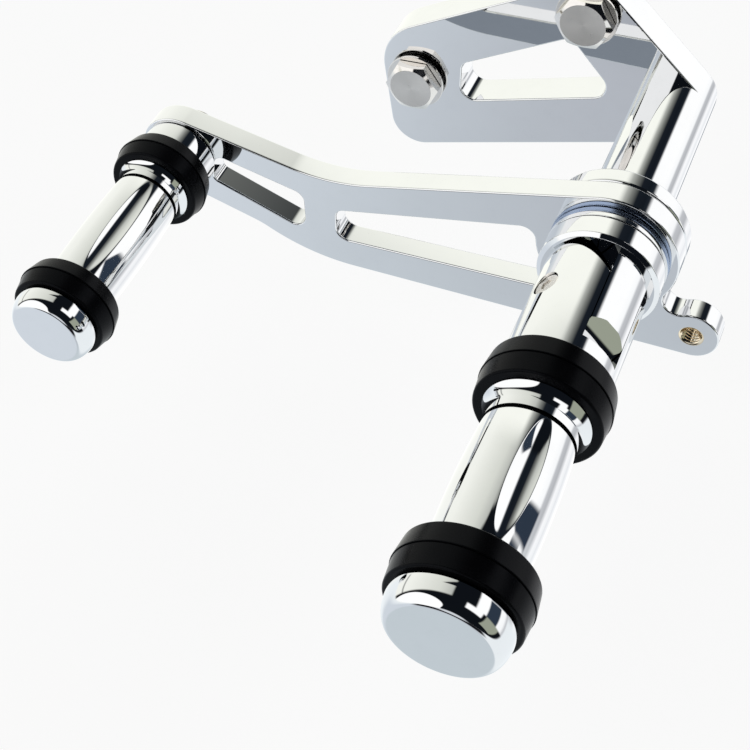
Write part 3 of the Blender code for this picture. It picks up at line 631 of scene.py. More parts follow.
plateSizes = {"ease": 0.55, "endRadius": 12.66, "rearBolt": (-31.6, 30.4, 11.3),
              "frontBolt": (-89.7, -12.5), "boltHole": 5.5,
              "upperCorner": (6.1, 4.3, 19.0), "lowerCorner": (0.9, -18.7, 10.5)}
windowSizes = {"shaftCorner": (-27.75, 2.7, 5.0), "topCorner": (-37.3, 14.3, 4.0),
               "forwardHigh": (-69.6, -4.2, 4.0), "forwardLow": (-68.6, -10.9, 5.0)}
bossSizes = {"radius": 12.7, "ease": 0.7, "bore": 8.3, "boreEase": 0.2, "boreDepth": 38.0}


def plateOutline(inset):
    fx, fz = plateSizes["frontBolt"]
    ux, uz, ur = plateSizes["upperCorner"]
    lx, lz, lr = plateSizes["lowerCorner"]
    shaftEnd = (0.0, 0.0, plateSizes["endRadius"])
    upper, lower = (fx + ux, fz + uz, ur), (fx + lx, fz + lz, lr)
    return belt((shaftEnd, plateSizes["rearBolt"], upper, lower), inset)


def plateWindow(inset):
    return belt(tuple(windowSizes.values()), inset)


def frontBoltHole(inset):
    return disc(*plateSizes["frontBolt"], plateSizes["boltHole"], inset, 64)


def rearBoltHole(inset):
    return disc(*plateSizes["rearBolt"][:2], plateSizes["boltHole"], inset, 64)


def rimSurface(shape, side):
    # rounded-over wall of the plate, from its outline points; side is -1 for a hole
    points = np.array(shape(0.0))
    ends = np.roll(points, -1, axis=0)
    spans = ends[:, :2] - points[:, :2]
    lengths = np.maximum((spans ** 2).sum(1), 1e-9)
    ease = plateSizes["ease"]

    def normalAt(point):
        here = np.array((point.x, point.z))
        share = np.clip(((here - points[:, :2]) * spans).sum(1) / lengths, 0, 1)
        off = points[:, :2] + spans * share[:, None] - here
        best = int((off ** 2).sum(1).argmin())
        tip = points[best, 2:] * (1 - share[best]) + ends[best, 2:] * share[best]
        nearest = points[best, :2] + spans[best] * share[best]
        depth = -side * float(np.dot(here - nearest, tip))
        rise = 0.0
        if point.y > plateBack - ease:
            rise = (point.y - plateBack + ease) / ease
        elif point.y < plateFront + ease:
            rise = (point.y - plateFront - ease) / ease
        rise = max(-1.0, min(1.0, rise))
        spread = (1 - rise * rise) ** 0.5
        facing = Vector((side * tip[0] * spread, rise, side * tip[1] * spread))
        return abs(depth - ease * (1 - spread)), facing
    return normalAt


def makeBracket(material):
    s = bossSizes
    edge = plateSizes["ease"]
    holes = [plateWindow, frontBoltHole, rearBoltHole]
    plate = flatWork("bracketPlate", plateOutline, holes, plateBack, plateFront, edge)
    root = plateBack - edge
    floor = bossFront + s["boreDepth"]
    profile = [(root, 0), (root, s["radius"], s["ease"]), (bossFront, s["radius"], s["ease"]),
               (bossFront, s["bore"], s["boreEase"]), (floor, s["bore"]), (floor, 0)]
    mesh = carve("mountBracket", plate, [("UNION", turned("boss", profile, 160))])
    surfaces = [asTurned(profile), rimSurface(plateOutline, 1), rimSurface(plateWindow, -1)]
    place("bracketShell", trueNormals(mesh, surfaces), material, "bracket", "mount_bracket")


# bolts that hold the bracket, with their washers

boltSizes = {"flats": 17.0, "shank": 5.0, "faceInset": 0.9, "cone": 30.0, "ease": 0.3, "dish": 0.12,
             "pitch": 1.5, "threadDepth": 0.8, "flank": 1.25, "crest": 0.12, "chamfer": 1.2,
             "washerEase": 0.22, "turns": {"front": 35, "rear": 31}}


def threadedBar(name, high, low, centre, segments=48, rowsPerTurn=10):
    # right-handed thread from y high, its chamfered free end, to y low
    s = boltSizes
    rows = ceil((high - low) / s["pitch"] * rowsPerTurn)
    verts, faces = [], []
    for row in range(rows + 1):
        y = high + (low - high) * row / rows
        for step in range(segments):
            share = (y / s["pitch"] + step / segments) % 1.0
            ridge = abs(2 * share - 1)
            cut = s["threadDepth"] * min(1.0, max(0.0, s["flank"] * ridge - s["crest"]))
            end = s["shank"] - s["threadDepth"] + (high - y) * s["chamfer"]
            reach = min(s["shank"] - cut, end)
            angle = fullTurn * step / segments
            verts.append((centre[0] + reach * cos(angle), y, centre[1] + reach * sin(angle)))
    for row in range(rows):
        for step in range(segments):
            one, two = row * segments + step, row * segments + (step + 1) % segments
            faces.append((one, two, two + segments, one + segments))
    faces.append(tuple(range(segments))[::-1])
    faces.append(tuple(range(rows * segments, (rows + 1) * segments)))
    return smoothUnder(rawMesh(name, verts, faces), 40)


def hexBar(name, flats, turn, high, low, centre):
    reach = flats / 2 / cos(pi / 6)
    turns = [turn + pi / 6 + k * pi / 3 for k in range(6)]
    corners = [(centre[0] + reach * cos(a), centre[1] + reach * sin(a)) for a in turns]
    verts = [(x, high, z) for x, z in corners] + [(x, low, z) for x, z in corners]
    faces = [tuple(range(6)), tuple(range(6, 12))]
    faces += [(k, (k + 1) % 6, (k + 1) % 6 + 6, k + 6) for k in range(6)]
    return closedMesh(name, verts, faces)


def springWasher(name, inner, outer, back, front, turn, centre, split=9, steps=72, ease=0.18):
    # ring with a gap of split degrees; its square section has eased corners
    middle = ((inner + outer) / 2, (back + front) / 2)
    section = []
    for r, y in ((inner, back), (inner, front), (outer, front), (outer, back)):
        dr, dy = (1 if r > middle[0] else -1), (1 if y > middle[1] else -1)
        for a in range(4):
            angle = pi / 2 * a / 3
            along, up = (sin(angle), cos(angle)) if dr * dy > 0 else (cos(angle), sin(angle))
            section.append((r - dr * ease * (1 - along), y - dy * ease * (1 - up)))
    ring = sorted(section, key=lambda p: atan2(p[1] - middle[1], p[0] - middle[0]))
    verts, faces = [], []
    count = len(ring)
    gap = radians(split)
    for step in range(steps + 1):
        angle = turn + gap / 2 + (fullTurn - gap) * step / steps
        for r, y in ring:
            verts.append((centre[0] + r * cos(angle), y, centre[1] + r * sin(angle)))
    for step in range(steps):
        for k in range(count):
            a, b = step * count + k, step * count + (k + 1) % count
            faces.append((a, b, b + count, a + count))
    faces.append(tuple(range(count)))
    faces.append(tuple(range(steps * count, (steps + 1) * count)))
    return smoothUnder(closedMesh(name, verts, faces), 50)


def makeBolt(end):
    s = boltSizes
    turn = radians(s["turns"][end])
    low, high = nodeBox(f"bracket_bolt_{end}")
    flatLow, flatHigh = nodeBox(f"flat_washer_{end}")
    lockLow, lockHigh = nodeBox(f"lock_washer_{end}")
    centre = ((flatLow.x + flatHigh.x) / 2, (flatLow.z + flatHigh.z) / 2)
    headBack, headFront = flatLow.y - air, low.y
    # a round blank, 1 mm wider than the hexagon's corners, that the hexagon is cut from
    blank = s["flats"] / 2 / cos(pi / 6) + 1.0
    face = s["flats"] / 2 - s["faceInset"]
    shoulder = headFront + (blank - face) * tan(radians(s["cone"]))
    profile = [(headBack, 0), (headBack, blank), (shoulder, blank), (headFront, face, s["ease"]),
               (headFront + s["dish"], 0.0)]
    head = turned(f"{end}Head", profile, 96, False, centre)
    bar = hexBar(f"{end}Hex", s["flats"], turn, headBack + 1, headFront - 1, centre)
    mesh = carve(f"{end}BoltHead", head, [("INTERSECT", bar)])
    trueNormals(mesh, [asTurned(profile, centre)])
    faceLook = steelLook(f"{end}BoltSteel", "boltFace", centre)
    place(f"{end}BoltHead", mesh, faceLook, "bracket", f"bracket_bolt_{end}")
    # all but the outer face is smoother and brighter
    mesh.materials.append(steelLook(f"{end}FlatsSteel", "boltFlats", centre))
    for side in mesh.polygons:
        side.material_index = 1 if side.normal.y > -0.97 else 0
    thread = threadedBar(f"{end}BoltThread", high.y, headBack, centre)
    threadLook = steelLook(f"{end}ThreadSteel", "boltThread", centre)
    place(f"{end}BoltThread", thread, threadLook, "bracket")
    bore, edge = s["shank"] + air, (flatHigh.x - flatLow.x) / 2
    flat = washer(f"{end}FlatWasher", bore, edge, flatHigh.y, flatLow.y, s["washerEase"], 96, centre)
    flatLook = steelLook(f"{end}WasherSteel", "flatWasher", centre)
    place(f"{end}FlatWasher", flat, flatLook, "bracket", f"flat_washer_{end}")
    edge = max(lockHigh.x - lockLow.x, lockHigh.z - lockLow.z) / 2
    lock = springWasher(f"{end}LockWasher", bore, edge, lockHigh.y, lockLow.y, turn, centre)
    # the lock washer is near-black steel, partly painted shade for the gap under the flat washer
    lockShadeLook = shadeBlackSteelLook(f"{end}LockSteelShade")
    place(f"{end}LockWasher", lock, lockShadeLook, "bracket", f"lock_washer_{end}")


# pieces strung on the stud

stackSizes = {"bore": 8.3, "flangeEase": 0.9, "rearEase": 0.35, "frontEase": 0.2}


def makeStack():
    rings = {
        "boss_flange": ("bossFlange", "flangeEase", chromeLook("flangeChrome")),
        "thrust_washer_rear": ("rearThrustWasher", "rearEase", chromeLook("rearWasherBlued", bluedTune)),
        "thrust_washer_front": ("frontThrustWasher", "frontEase", chromeLook("frontWasherChrome")),
    }
    for node, (name, ease, look) in rings.items():
        low, high = nodeBox(node)
        ring = washer(name, stackSizes["bore"], high.x, high.y, low.y, stackSizes[ease], 160)
        place(name, ring, look, "bracket", node)
    bush = frame["nodes"]["lever_bush"].data
    bush.materials.clear()
    bush.materials.append(steelLook("bushBronze", "bush"))


# peg mount: stud, collar and tongue

mountSizes = {"stud": 8.0, "studEase": 1.2, "collar": 19.0, "collarLength": 8.0, "face": 17.6,
              "faceStep": 0.85, "ease": 0.35, "halfTongue": 7.05, "tongueRound": 16.35}
pinHoleSizes = {"head": 4.4, "shank": 3.3, "seat": 11.25, "bottom": -13.35, "mouth": 40.0}


def pinHole(name):
    # what the fold pin's hole takes out; heights are measured along the pin from the shaft's axis
    s = pinHoleSizes
    profile = [(s["mouth"], 0), (s["mouth"], s["head"]), (s["seat"], s["head"]),
               (s["seat"], s["shank"]), (s["bottom"], s["shank"]), (s["bottom"], 0)]
    return moved(turned(name, profile, 64), pinUpright)


def makePegMount(material):
    s = mountSizes
    low, high = nodeBox("peg_mount")
    tip, studEnd = low.y, high.y
    collarBack = nodeBox("thrust_washer_front")[0].y - air
    collarFace = collarBack - s["collarLength"]
    profile = [(studEnd, 0), (studEnd, s["stud"], s["studEase"]), (collarBack, s["stud"]),
               (collarBack, s["collar"], s["ease"]),
               (collarFace + s["faceStep"], s["collar"], s["ease"]),
               (collarFace, s["face"], s["ease"]), (collarFace, 0)]
    # the tongue's end is rounded on the side that the peg folds to and square on the other
    half, root = s["tongueRound"] + 1.0, collarFace + 4.0
    endRadius = pinY - tip
    steps = 40
    outline = [(half, root), (-half, root), (-half, tip), (0.0, tip)]
    for step in range(1, steps + 1):
        angle = pi / 2 - pi / 2 * step / steps
        outline.append((endRadius * cos(angle), pinY - endRadius * sin(angle)))
    outline.append((half, pinY))
    rodStart, rodEnd = collarBack - 1.0, tip - 5.0
    rod = [(rodStart, 0), (rodStart, s["tongueRound"]), (rodEnd, s["tongueRound"]), (rodEnd, 0)]
    tongue = slab("tongue", outline, s["halfTongue"])
    tongue = carve("tongue", tongue, [("INTERSECT", turned("rod", rod, 160))])
    cuts = [("UNION", tongue), ("DIFFERENCE", pinHole("tonguePinHole"))]
    mesh = carve("pegMount", turned("collar", profile, 160), cuts)
    surfaces = [asTurned(profile), roundAbout(s["tongueRound"]), roundAbout(endRadius, pinUpright),
                roundAbout(pinHoleSizes["head"], pinUpright)]
    place("pegMount", trueNormals(mesh, surfaces), material, "bracket", "peg_mount")


# shift lever; an arc is (x, z, radius), but valley and belly give the z of their edge

leverSizes = {"ease": 0.55, "hub": 21.85, "bore": 10.3, "toeEnd": 13.6, "screwHole": 4.3,
              "valley": (-95.3, -1.8, 60.0), "belly": (-86.2, -37.2, 66.0), "throat": (-128.3, 30.0),
              "tab": (29.7, -24.7, 8.65), "tabFillet": 5.0}
frontSlotSizes = ((15.3, -1.3, 3.6), (13.7, -6.1, 2.2), (40.3, -13.6, 4.0), (40.1, -6.9, 4.0))
rearSlotSizes = {"hub": 23.3, "topCorner": (-3.1, 4.5), "lowCorner": (-18.5, 3.2), "front": -90.2,
                 "frontTop": (-16.6, 3.2), "frontLow": (-21.5, 4.5)}
tabThread = {"radius": 3.5, "pitch": 1.25, "depth": 0.6, "mouth": 0.5, "rows": 64, "edge": 4.3}


def leverOutline(inset):
    s = leverSizes
    tabX, tabZ, tabRadius = s["tab"]
    toHub, toTab = s["hub"] + s["tabFillet"], tabRadius + s["tabFillet"]
    away = hypot(tabX, tabZ)
    swing = acos((toHub ** 2 + away ** 2 - toTab ** 2) / (2 * toHub * away))
    bearing = atan2(tabZ, tabX) + swing
    valleyX, valleyLow, valleyRadius = s["valley"]
    bellyX, bellyLow, bellyRadius = s["belly"]
    throatX, throatRadius = s["throat"]
    bellyZ = bellyLow + bellyRadius
    drop = ((bellyRadius + throatRadius) ** 2 - (bellyX - throatX) ** 2) ** 0.5
    return belt((
        (0.0, 0.0, s["hub"]),
        (valleyX, valleyLow + valleyRadius, -valleyRadius),
        (toeX, toeZ, s["toeEnd"]),
        (throatX, bellyZ - drop, -throatRadius),
        (bellyX, bellyZ, bellyRadius),
        (tabX, tabZ, tabRadius),
        (toHub * cos(bearing), toHub * sin(bearing), -s["tabFillet"]),
    ), inset)


def frontSlot(inset):
    return belt([(toeX + x, toeZ + z, radius) for x, z, radius in frontSlotSizes], inset)


def rearSlot(inset):
    s = rearSlotSizes
    topZ, topRadius = s["topCorner"]
    lowZ, lowRadius = s["lowCorner"]
    frontTopZ, frontTopRadius = s["frontTop"]
    frontLowZ, frontLowRadius = s["frontLow"]
    topX = -((s["hub"] + topRadius) ** 2 - topZ ** 2) ** 0.5
    lowX = -((s["hub"] + lowRadius) ** 2 - lowZ ** 2) ** 0.5
    return belt((
        (lowX, lowZ, lowRadius),
        (0.0, 0.0, -s["hub"]),
        (topX, topZ, topRadius),
        (s["front"] + frontTopRadius, frontTopZ, frontTopRadius),
        (s["front"] + frontLowRadius, frontLowZ, frontLowRadius),
    ), inset)


def leverBore(inset):
    return disc(0.0, 0.0, leverSizes["bore"], inset)


def screwHole(inset):
    return disc(toeX, toeZ, leverSizes["screwHole"], inset, 48)


def tabHole(inset, y):
    # the thread's crests stand into the hole, except at its two mouths
    x, z, _ = leverSizes["tab"]
    points = []
    for px, pz, nx, nz in disc(x, z, tabThread["radius"], inset, 48):
        share = (y / tabThread["pitch"] + atan2(nz, nx) / fullTurn) % 1.0
        crest = tabThread["depth"] * (1 - abs(2 * share - 1)) if inset == 0 else 0.0
        points.append((px - nx * crest, pz - nz * crest, nx, nz))
    return points


def tabHoleLevels():
    mouth, rows = tabThread["mouth"], tabThread["rows"]
    levels = [(leverBack, mouth, 1.0, 0.0)]
    for row in range(rows + 1):
        y = leverBack - mouth + (leverFront - leverBack + 2 * mouth) * row / rows
        levels.append((y, 0.0, 0.0, None))
    levels.append((leverFront, mouth, -1.0, 0.0))
    return levels


def makeLever(material):
    holes = [frontSlot, rearSlot, leverBore, screwHole, (tabHole, tabHoleLevels())]
    mesh = flatWork("shiftLever", leverOutline, holes, leverBack, leverFront, leverSizes["ease"])
    place("shiftLever", mesh, material, "lever", "shift_lever")
    x, z, _ = leverSizes["tab"]
    mesh.materials.append(steelLook("tabThreadBrass", "tabThread", (x, z)))
    for face in mesh.polygons:
        spot = face.center / mm
        isWall = abs(face.normal.y) < 0.95
        if isWall and hypot(spot.x - x, spot.z - z) < tabThread["edge"]:
            face.material_index = 1


# pegs and their rubber rings

footSizes = {"neck": 16.35, "noseEase": 0.05, "seat": 13.15, "ringEdge": 2.65,
             "lip": 15.95, "lipLength": 6.9, "groove": 0.5, "grooveWidth": 1.25,
             "barrel": 13.65, "crown": 0.7, "cutter": 7.4,
             "hollow": {"depth": 1.70, "bow": 1.02, "length": 0.88, "edge": 0.14, "halfWidth": 0.36},
             "cap": 17.5, "capFace": 13.9, "capBevel": 0.8, "halfSlot": 7.35, "slotBeyondPin": 18.8}
toeSizes = {"neck": 12.6, "seat": 10.0, "ringEdge": 2.1,
            "lip": 12.2, "lipLength": 4.8, "groove": 0.4, "grooveWidth": 1.15,
            "barrel": 10.6, "crown": 0.5, "cutter": 5.8,
            "hollow": {"depth": 1.28, "bow": 0.78, "length": 0.96, "edge": 0.11, "halfWidth": 0.36},
            "cap": 13.3, "capFace": 10.2, "capBevel": 0.6, "bore": 4.3, "boreDepth": 24.0}
coveSizes = {"slope": 0.04, "flare": 0.88, "flareReach": 0.6, "rows": 24,
             "highWall": 0.08, "lowWall": 0.05}
barrelSizes = {"rows": 80, "footEase": 0.12, "capRows": 28, "capEase": 0.3,
               "hollowBearing": 69.0, "hollowColumns": 110, "hollowSpread": 0.5}
# the parting step round a ring's middle: (along, below the highest radius, easing)
ringSizes = {"ease": 0.8, "boreEase": 0.3,
             "parting": ((0.25, 0.0, 0.15), (0.0, 0.02, 0.08), (-0.05, 0.5, 0.05), (-0.35, 0.28, 0.12))}


class Hollow:
    # long shallow hollow scooped along a barrel, narrowing towards both of its ends
    def __init__(self, start, end, s):
        self.start, self.end, self.cutter, self.run = start, end, s["cutter"], s["hollow"]
        self.middle = radians(barrelSizes["hollowBearing"])
        self.floor = s["barrel"] + s["crown"] - self.run["depth"]

    def angles(self, segments):
        # closer columns across the hollow
        spread, count = self.run["halfWidth"], barrelSizes["hollowColumns"]
        fine = [self.middle - spread + 2 * spread * step / count for step in range(count)]
        left = fullTurn - 2 * spread
        return fine + [self.middle + spread + left * step / segments for step in range(segments)]

    def covers(self, y):
        return self.end - 0.01 <= y <= self.start + 0.01

    def scoop(self, y, a):
        # radius of the scooped surface at y and angle, with its slopes in angle and y
        span = (self.end - self.start) * self.run["length"]
        share = (y - self.start) / span
        bow = self.run["bow"] * (2 * share - 1) ** 2
        bowSlope = self.run["bow"] * 4 * (2 * share - 1) / span
        away = self.floor + bow + self.cutter
        turn = (a - self.middle + pi) % fullTurn - pi
        under = self.cutter ** 2 - (away * sin(turn)) ** 2
        if abs(turn) > barrelSizes["hollowSpread"] or under <= 1.0:
            return 99.0, 0.0, 0.0           # beside the cutter: far outside the barrel
        root = under ** 0.5
        reach = away * cos(turn) - root
        angleSlope = -away * sin(turn) + away ** 2 * sin(turn) * cos(turn) / root
        awaySlope = cos(turn) + away * sin(turn) ** 2 / root
        return reach, angleSlope, awaySlope * bowSlope

    def blend(self, radius, scooped):
        spread = hypot(radius - scooped, self.run["edge"])
        return spread, 0.5 * (1 - (radius - scooped) / spread)

    def reach(self, y, radius, a):
        if not self.covers(y):
            return radius
        scooped = self.scoop(y, a)[0]
        return (radius + scooped - self.blend(radius, scooped)[0]) / 2

    def facing(self, y, radius, a, n):
        scooped, angleSlope, ySlope = self.scoop(y, a)
        share = self.blend(radius, scooped)[1]
        along = share * -n.x / n.y + (1 - share) * ySlope
        around = (1 - share) * angleSlope / radius
        normal = Vector((cos(a) + around * sin(a), -along, sin(a) - around * cos(a)))
        return normal.normalized()


def barrelPoints(start, end, s):
    # cove that runs down from the ring to a fine groove, then a low crown along the barrel
    cove = coveSizes
    points = []
    for row in range(cove["rows"] + 1):
        share = row / cove["rows"]
        flared = min(share, cove["flareReach"])
        flare = cove["flare"] * (flared - flared ** 2 / (2 * cove["flareReach"]))
        fall = cove["slope"] * share + flare
        points.append((start - s["lipLength"] * share, s["lip"] - s["lipLength"] * fall))
    coveFoot, foot = start - s["lipLength"], start - s["lipLength"] - s["grooveWidth"]
    points.append((coveFoot - cove["highWall"], s["barrel"] - s["groove"]))
    points.append((foot + cove["lowWall"], s["barrel"] - s["groove"]))
    for row in range(barrelSizes["rows"] + 1):
        share = row / barrelSizes["rows"]
        bulge = s["crown"] * 4 * share * (1 - share)
        ease = barrelSizes["footEase"] if row == 0 else 0.0
        points.append((foot + (end - foot) * share, s["barrel"] + bulge, ease))
    return points


def capPoints(start, end, s):
    # a bevel, then a quarter of an ellipse in to the flat face
    shoulder = start - s["capBevel"]
    points = [(start, s["cap"] - s["capBevel"], barrelSizes["capEase"])]
    for row in range(barrelSizes["capRows"] + 1):
        turn = pi / 2 * row / barrelSizes["capRows"]
        radius = s["capFace"] + (s["cap"] - s["capFace"]) * cos(turn)
        points.append((shoulder - (shoulder - end) * sin(turn), radius))
    points.append((end, 0))
    return points


def neckPoints(rings, s):
    # seat of the inner ring, to half of its length
    back, front = rings[0]
    middle = (back + front) / 2
    return [(back + air, s["neck"], 0.15), (back + air, s["seat"]), (middle, s["seat"]), (middle, 0)]


def makeBarrel(name, grooveShadeLook, rings, face, s, material, body, centre=onShaft):
    # from inside the inner ring out to the cap; rings are (back, front) of the inner and outer ring
    (innerBack, innerFront), (outerBack, outerFront) = rings
    middle = (innerBack + innerFront) / 2 + 0.5
    start, end, capBack = innerFront - air, outerBack + air, outerFront - air
    root = s["seat"] - 0.02
    profile = [(middle, 0), (middle, root), (start, root)] + barrelPoints(start, end, s)
    profile += [(end, s["seat"]), (capBack, s["seat"])] + capPoints(capBack, face, s)
    coveFoot = start - s["lipLength"]
    foot = coveFoot - s["grooveWidth"]
    mesh = turned(name, profile, 128, False, centre, Hollow(foot, end, s))
    place(name, mesh, material, body)
    # the groove is painted black in the rubber's look, as painted shade for the dark line where the cove
    # meets the barrel
    mesh.materials.append(rubberLook(grooveShadeLook))
    for side in mesh.polygons:
        if foot - 0.02 < side.center.y / mm < coveFoot + 0.02:
            side.material_index = 1


def ringEnds(name):
    low, high = nodeBox(name)
    return high.y, low.y


def makeRing(name, node, body, s, centre=onShaft):
    back, front = ringEnds(node)
    high = nodeBox(node)[1].x - centre[0]
    middle = (back + front) / 2
    edge, bore = s["neck"] + s["ringEdge"], s["seat"] + air
    ease, boreEase = ringSizes["ease"], ringSizes["boreEase"]
    profile = [(back, bore, boreEase), (back, edge, ease)]
    profile += [(middle + along, high - below, soft) for along, below, soft in ringSizes["parting"]]
    profile += [(front, edge, ease), (front, bore, boreEase)]
    mesh = turned(name, profile, 144, True, centre)
    place(name, mesh, rubberLook(name + "Rubber"), body, node)


def makeFootPeg(material):
    s = footSizes
    rings = [ringEnds("foot_ring_inner"), ringEnds("foot_ring_outer")]
    face = nodeBox("foot_peg")[0].y
    tip = pinY + 2 * s["neck"] + 4.0
    profile = [(tip, 0), (tip, s["neck"])] + neckPoints(rings, s)
    # the fork's nose is rounded about the pin, and everything beyond it is cut off
    nose = s["neck"] + s["noseEase"]
    slotEnd = pinY - s["slotBeyondPin"]
    shoulder = (slotEnd + rings[0][0]) / 2
    wide, far = 30.0, face - spare
    turns = [pi * step / 64 for step in range(65)]
    outline = [(nose * cos(a), pinY + nose * sin(a)) for a in turns]
    outline += [(-nose, shoulder), (-wide, shoulder), (-wide, far), (wide, far), (wide, shoulder),
                (nose, shoulder)]
    gap = [(-wide, slotEnd), (wide, slotEnd), (wide, tip + spare), (-wide, tip + spare)]
    mesh = carve("footFork", turned("footFork", profile, 160), [
        ("INTERSECT", slab("forkNose", outline, wide)),
        ("DIFFERENCE", slab("forkSlot", gap, s["halfSlot"])),
        ("DIFFERENCE", pinHole("forkPinHole")),
    ])
    surfaces = [asTurned(profile), roundAbout(nose, pinUpright),
                roundAbout(pinHoleSizes["head"], pinUpright)]
    place("footFork", trueNormals(mesh, surfaces), material, "peg", "foot_peg")
    makeBarrel("footBarrel", "footGroovePaintedShade", rings, face, s, material, "peg")
    for end in ("inner", "outer"):
        makeRing(f"{end}FootRing", f"foot_ring_{end}", "peg", s)


def makeToePeg(material):
    s = toeSizes
    centre = (toeX, toeZ)
    rings = [ringEnds("toe_ring_inner"), ringEnds("toe_ring_outer")]
    low, high = nodeBox("toe_peg")
    boreEnd = high.y - s["boreDepth"]
    profile = [(boreEnd, 0), (boreEnd, s["bore"]), (high.y, s["bore"], 0.3), (high.y, s["neck"], 0.6)]
    profile += neckPoints(rings, s)
    place("toeNeck", turned("toeNeck", profile, 144, False, centre), material, "lever", "toe_peg")
    makeBarrel("toeBarrel", "toeGroovePaintedShade", rings, low.y, s, material, "lever", centre)
    for end in ("inner", "outer"):
        makeRing(f"{end}ToeRing", f"toe_ring_{end}", "lever", s, centre)


# fold pin, and what holds the toe peg from behind the lever

pinSizes = {"top": 15.55, "head": 4.1, "headLength": 4.0, "shank": 3.0, "end": -13.05,
            "flats": 3.6, "socket": 0.4}
toeScrewSizes = {"head": 6.5, "headLength": 5.0, "shank": 4.0, "flats": 5.0, "socket": 2.6,
                 "washerBore": 4.3, "washerEdge": 8.0, "washerEase": 0.2}


def socketScrew(name, top, end, s):
    neck = top - s["headLength"]
    profile = [(top, 0), (top, s["head"], 0.35), (neck, s["head"], 0.1), (neck, s["shank"]),
               (end, s["shank"], 0.4), (end, 0)]
    key = hexBar(name + "Key", s["flats"], 0.0, top + 1, top - s["socket"], onShaft)
    mesh = carve(name, turned(name, profile, 72), [("DIFFERENCE", key)])
    return trueNormals(mesh, [asTurned(profile)])


def makeScrews():
    s = toeScrewSizes
    pin = moved(socketScrew("foldPin", pinSizes["top"], pinSizes["end"], pinSizes), pinUpright)
    place("foldPin", pin, steelLook("pinSteel", "pin"), "peg", "fold_pin")
    centre = (toeX, toeZ)
    low, high = nodeBox("toe_peg_screw")
    screw = socketScrew("toePegScrew", high.y, low.y, s)
    screw = moved(screw, Matrix.Translation((toeX, 0, toeZ)))
    screwLook = steelLook("toeScrewSteel", "toeFixing", centre)
    place("toePegScrew", screw, screwLook, "lever", "toe_peg_screw")
    low, high = nodeBox("toe_peg_washer")
    bore, edge, ease = s["washerBore"], s["washerEdge"], s["washerEase"]
    ring = washer("toePegWasher", bore, edge, high.y, low.y, ease, 96, centre)
    ringLook = steelLook("toeWasherSteel", "toeFixing", centre)
    place("toePegWasher", ring, ringLook, "lever", "toe_peg_washer")


# the room that the polished faces mirror, the floor and the camera

def screen(red, green, blue):
    # a colour as a screen shows it, 0 to 255, as light
    return tuple(((c / 255 + 0.055) / 1.055) ** 2.4 if c > 10 else c / 3294.6
                 for c in (red, green, blue))


# two angles name each direction: bearing goes round the pegs' axis from -50 to 310 degrees, 90 is
# straight up; away is measured from that axis, 0 towards the motorcycle, 180 to the rider's side
backWall = [
    (-50, (236, 238, 240)), (-36, (248, 248, 250)), (-23, (180, 182, 186)), (-12, (192, 194, 198)),
    (-6, (248, 249, 250)), (10, (255, 255, 255)), (47, (255, 255, 255)), (53, (30, 36, 44)),
    (60, (20, 25, 32)), (74, (24, 29, 36)), (84, (120, 122, 118)), (95, (186, 188, 182)),
    (112, (212, 214, 206)), (165, (240, 241, 234)), (235, (244, 245, 240)),
    (285, (252, 252, 252)), (310, (226, 228, 232)),
]
roomColours = {
    "darkWall": (14, 17, 22), "blueWall": (44, 54, 68), "paleWall": (247, 248, 240),
    "mark": (150, 151, 148), "window": (150, 155, 140), "lamp": (255, 255, 255),
    "backFloor": (134, 142, 152), "paleFloor": (232, 237, 240), "nearFloor": (205, 212, 220),
    "blueFloor": (192, 201, 207), "deepFloor": (176, 180, 188), "farFloor": (24, 24, 28),
    "frontBoard": (206, 210, 215), "backBoard": (222, 225, 226),
}
# a panel is a colour, a span of bearing and a span of away; a span of three is a start, an end and
# a blur, one of two is a rise from the first angle to the second
sidePanels = [("window", (-4, 27, 2), (90, 127, 2)), ("lamp", (34, 65, 2), (109, 104))]
floorPanels = [("nearFloor", (200, 275, 9), (72, 96)), ("blueFloor", (247, 277, 11), None),
               ("deepFloor", (247, 277, 11), (122, 144)), ("farFloor", None, (141, 150))]
boardPanels = [("frontBoard", None, (162, 171)), ("backBoard", None, (24, 11))]
roomSizes = {"chromeGain": 1.25, "firstBearing": -50, "wallSpan": (-14, 190, 3),
             "wallFrom": (89, 94), "floorFrom": (56, 68), "lampAt": (165, 133), "lampReach": (61, 36)}


def inside(angle, span):
    if len(span) == 2:
        return angle.rise(*span)
    low, high, blur = span
    return angle.rise(low - blur, low + blur) * (1 - angle.rise(high - blur, high + blur))


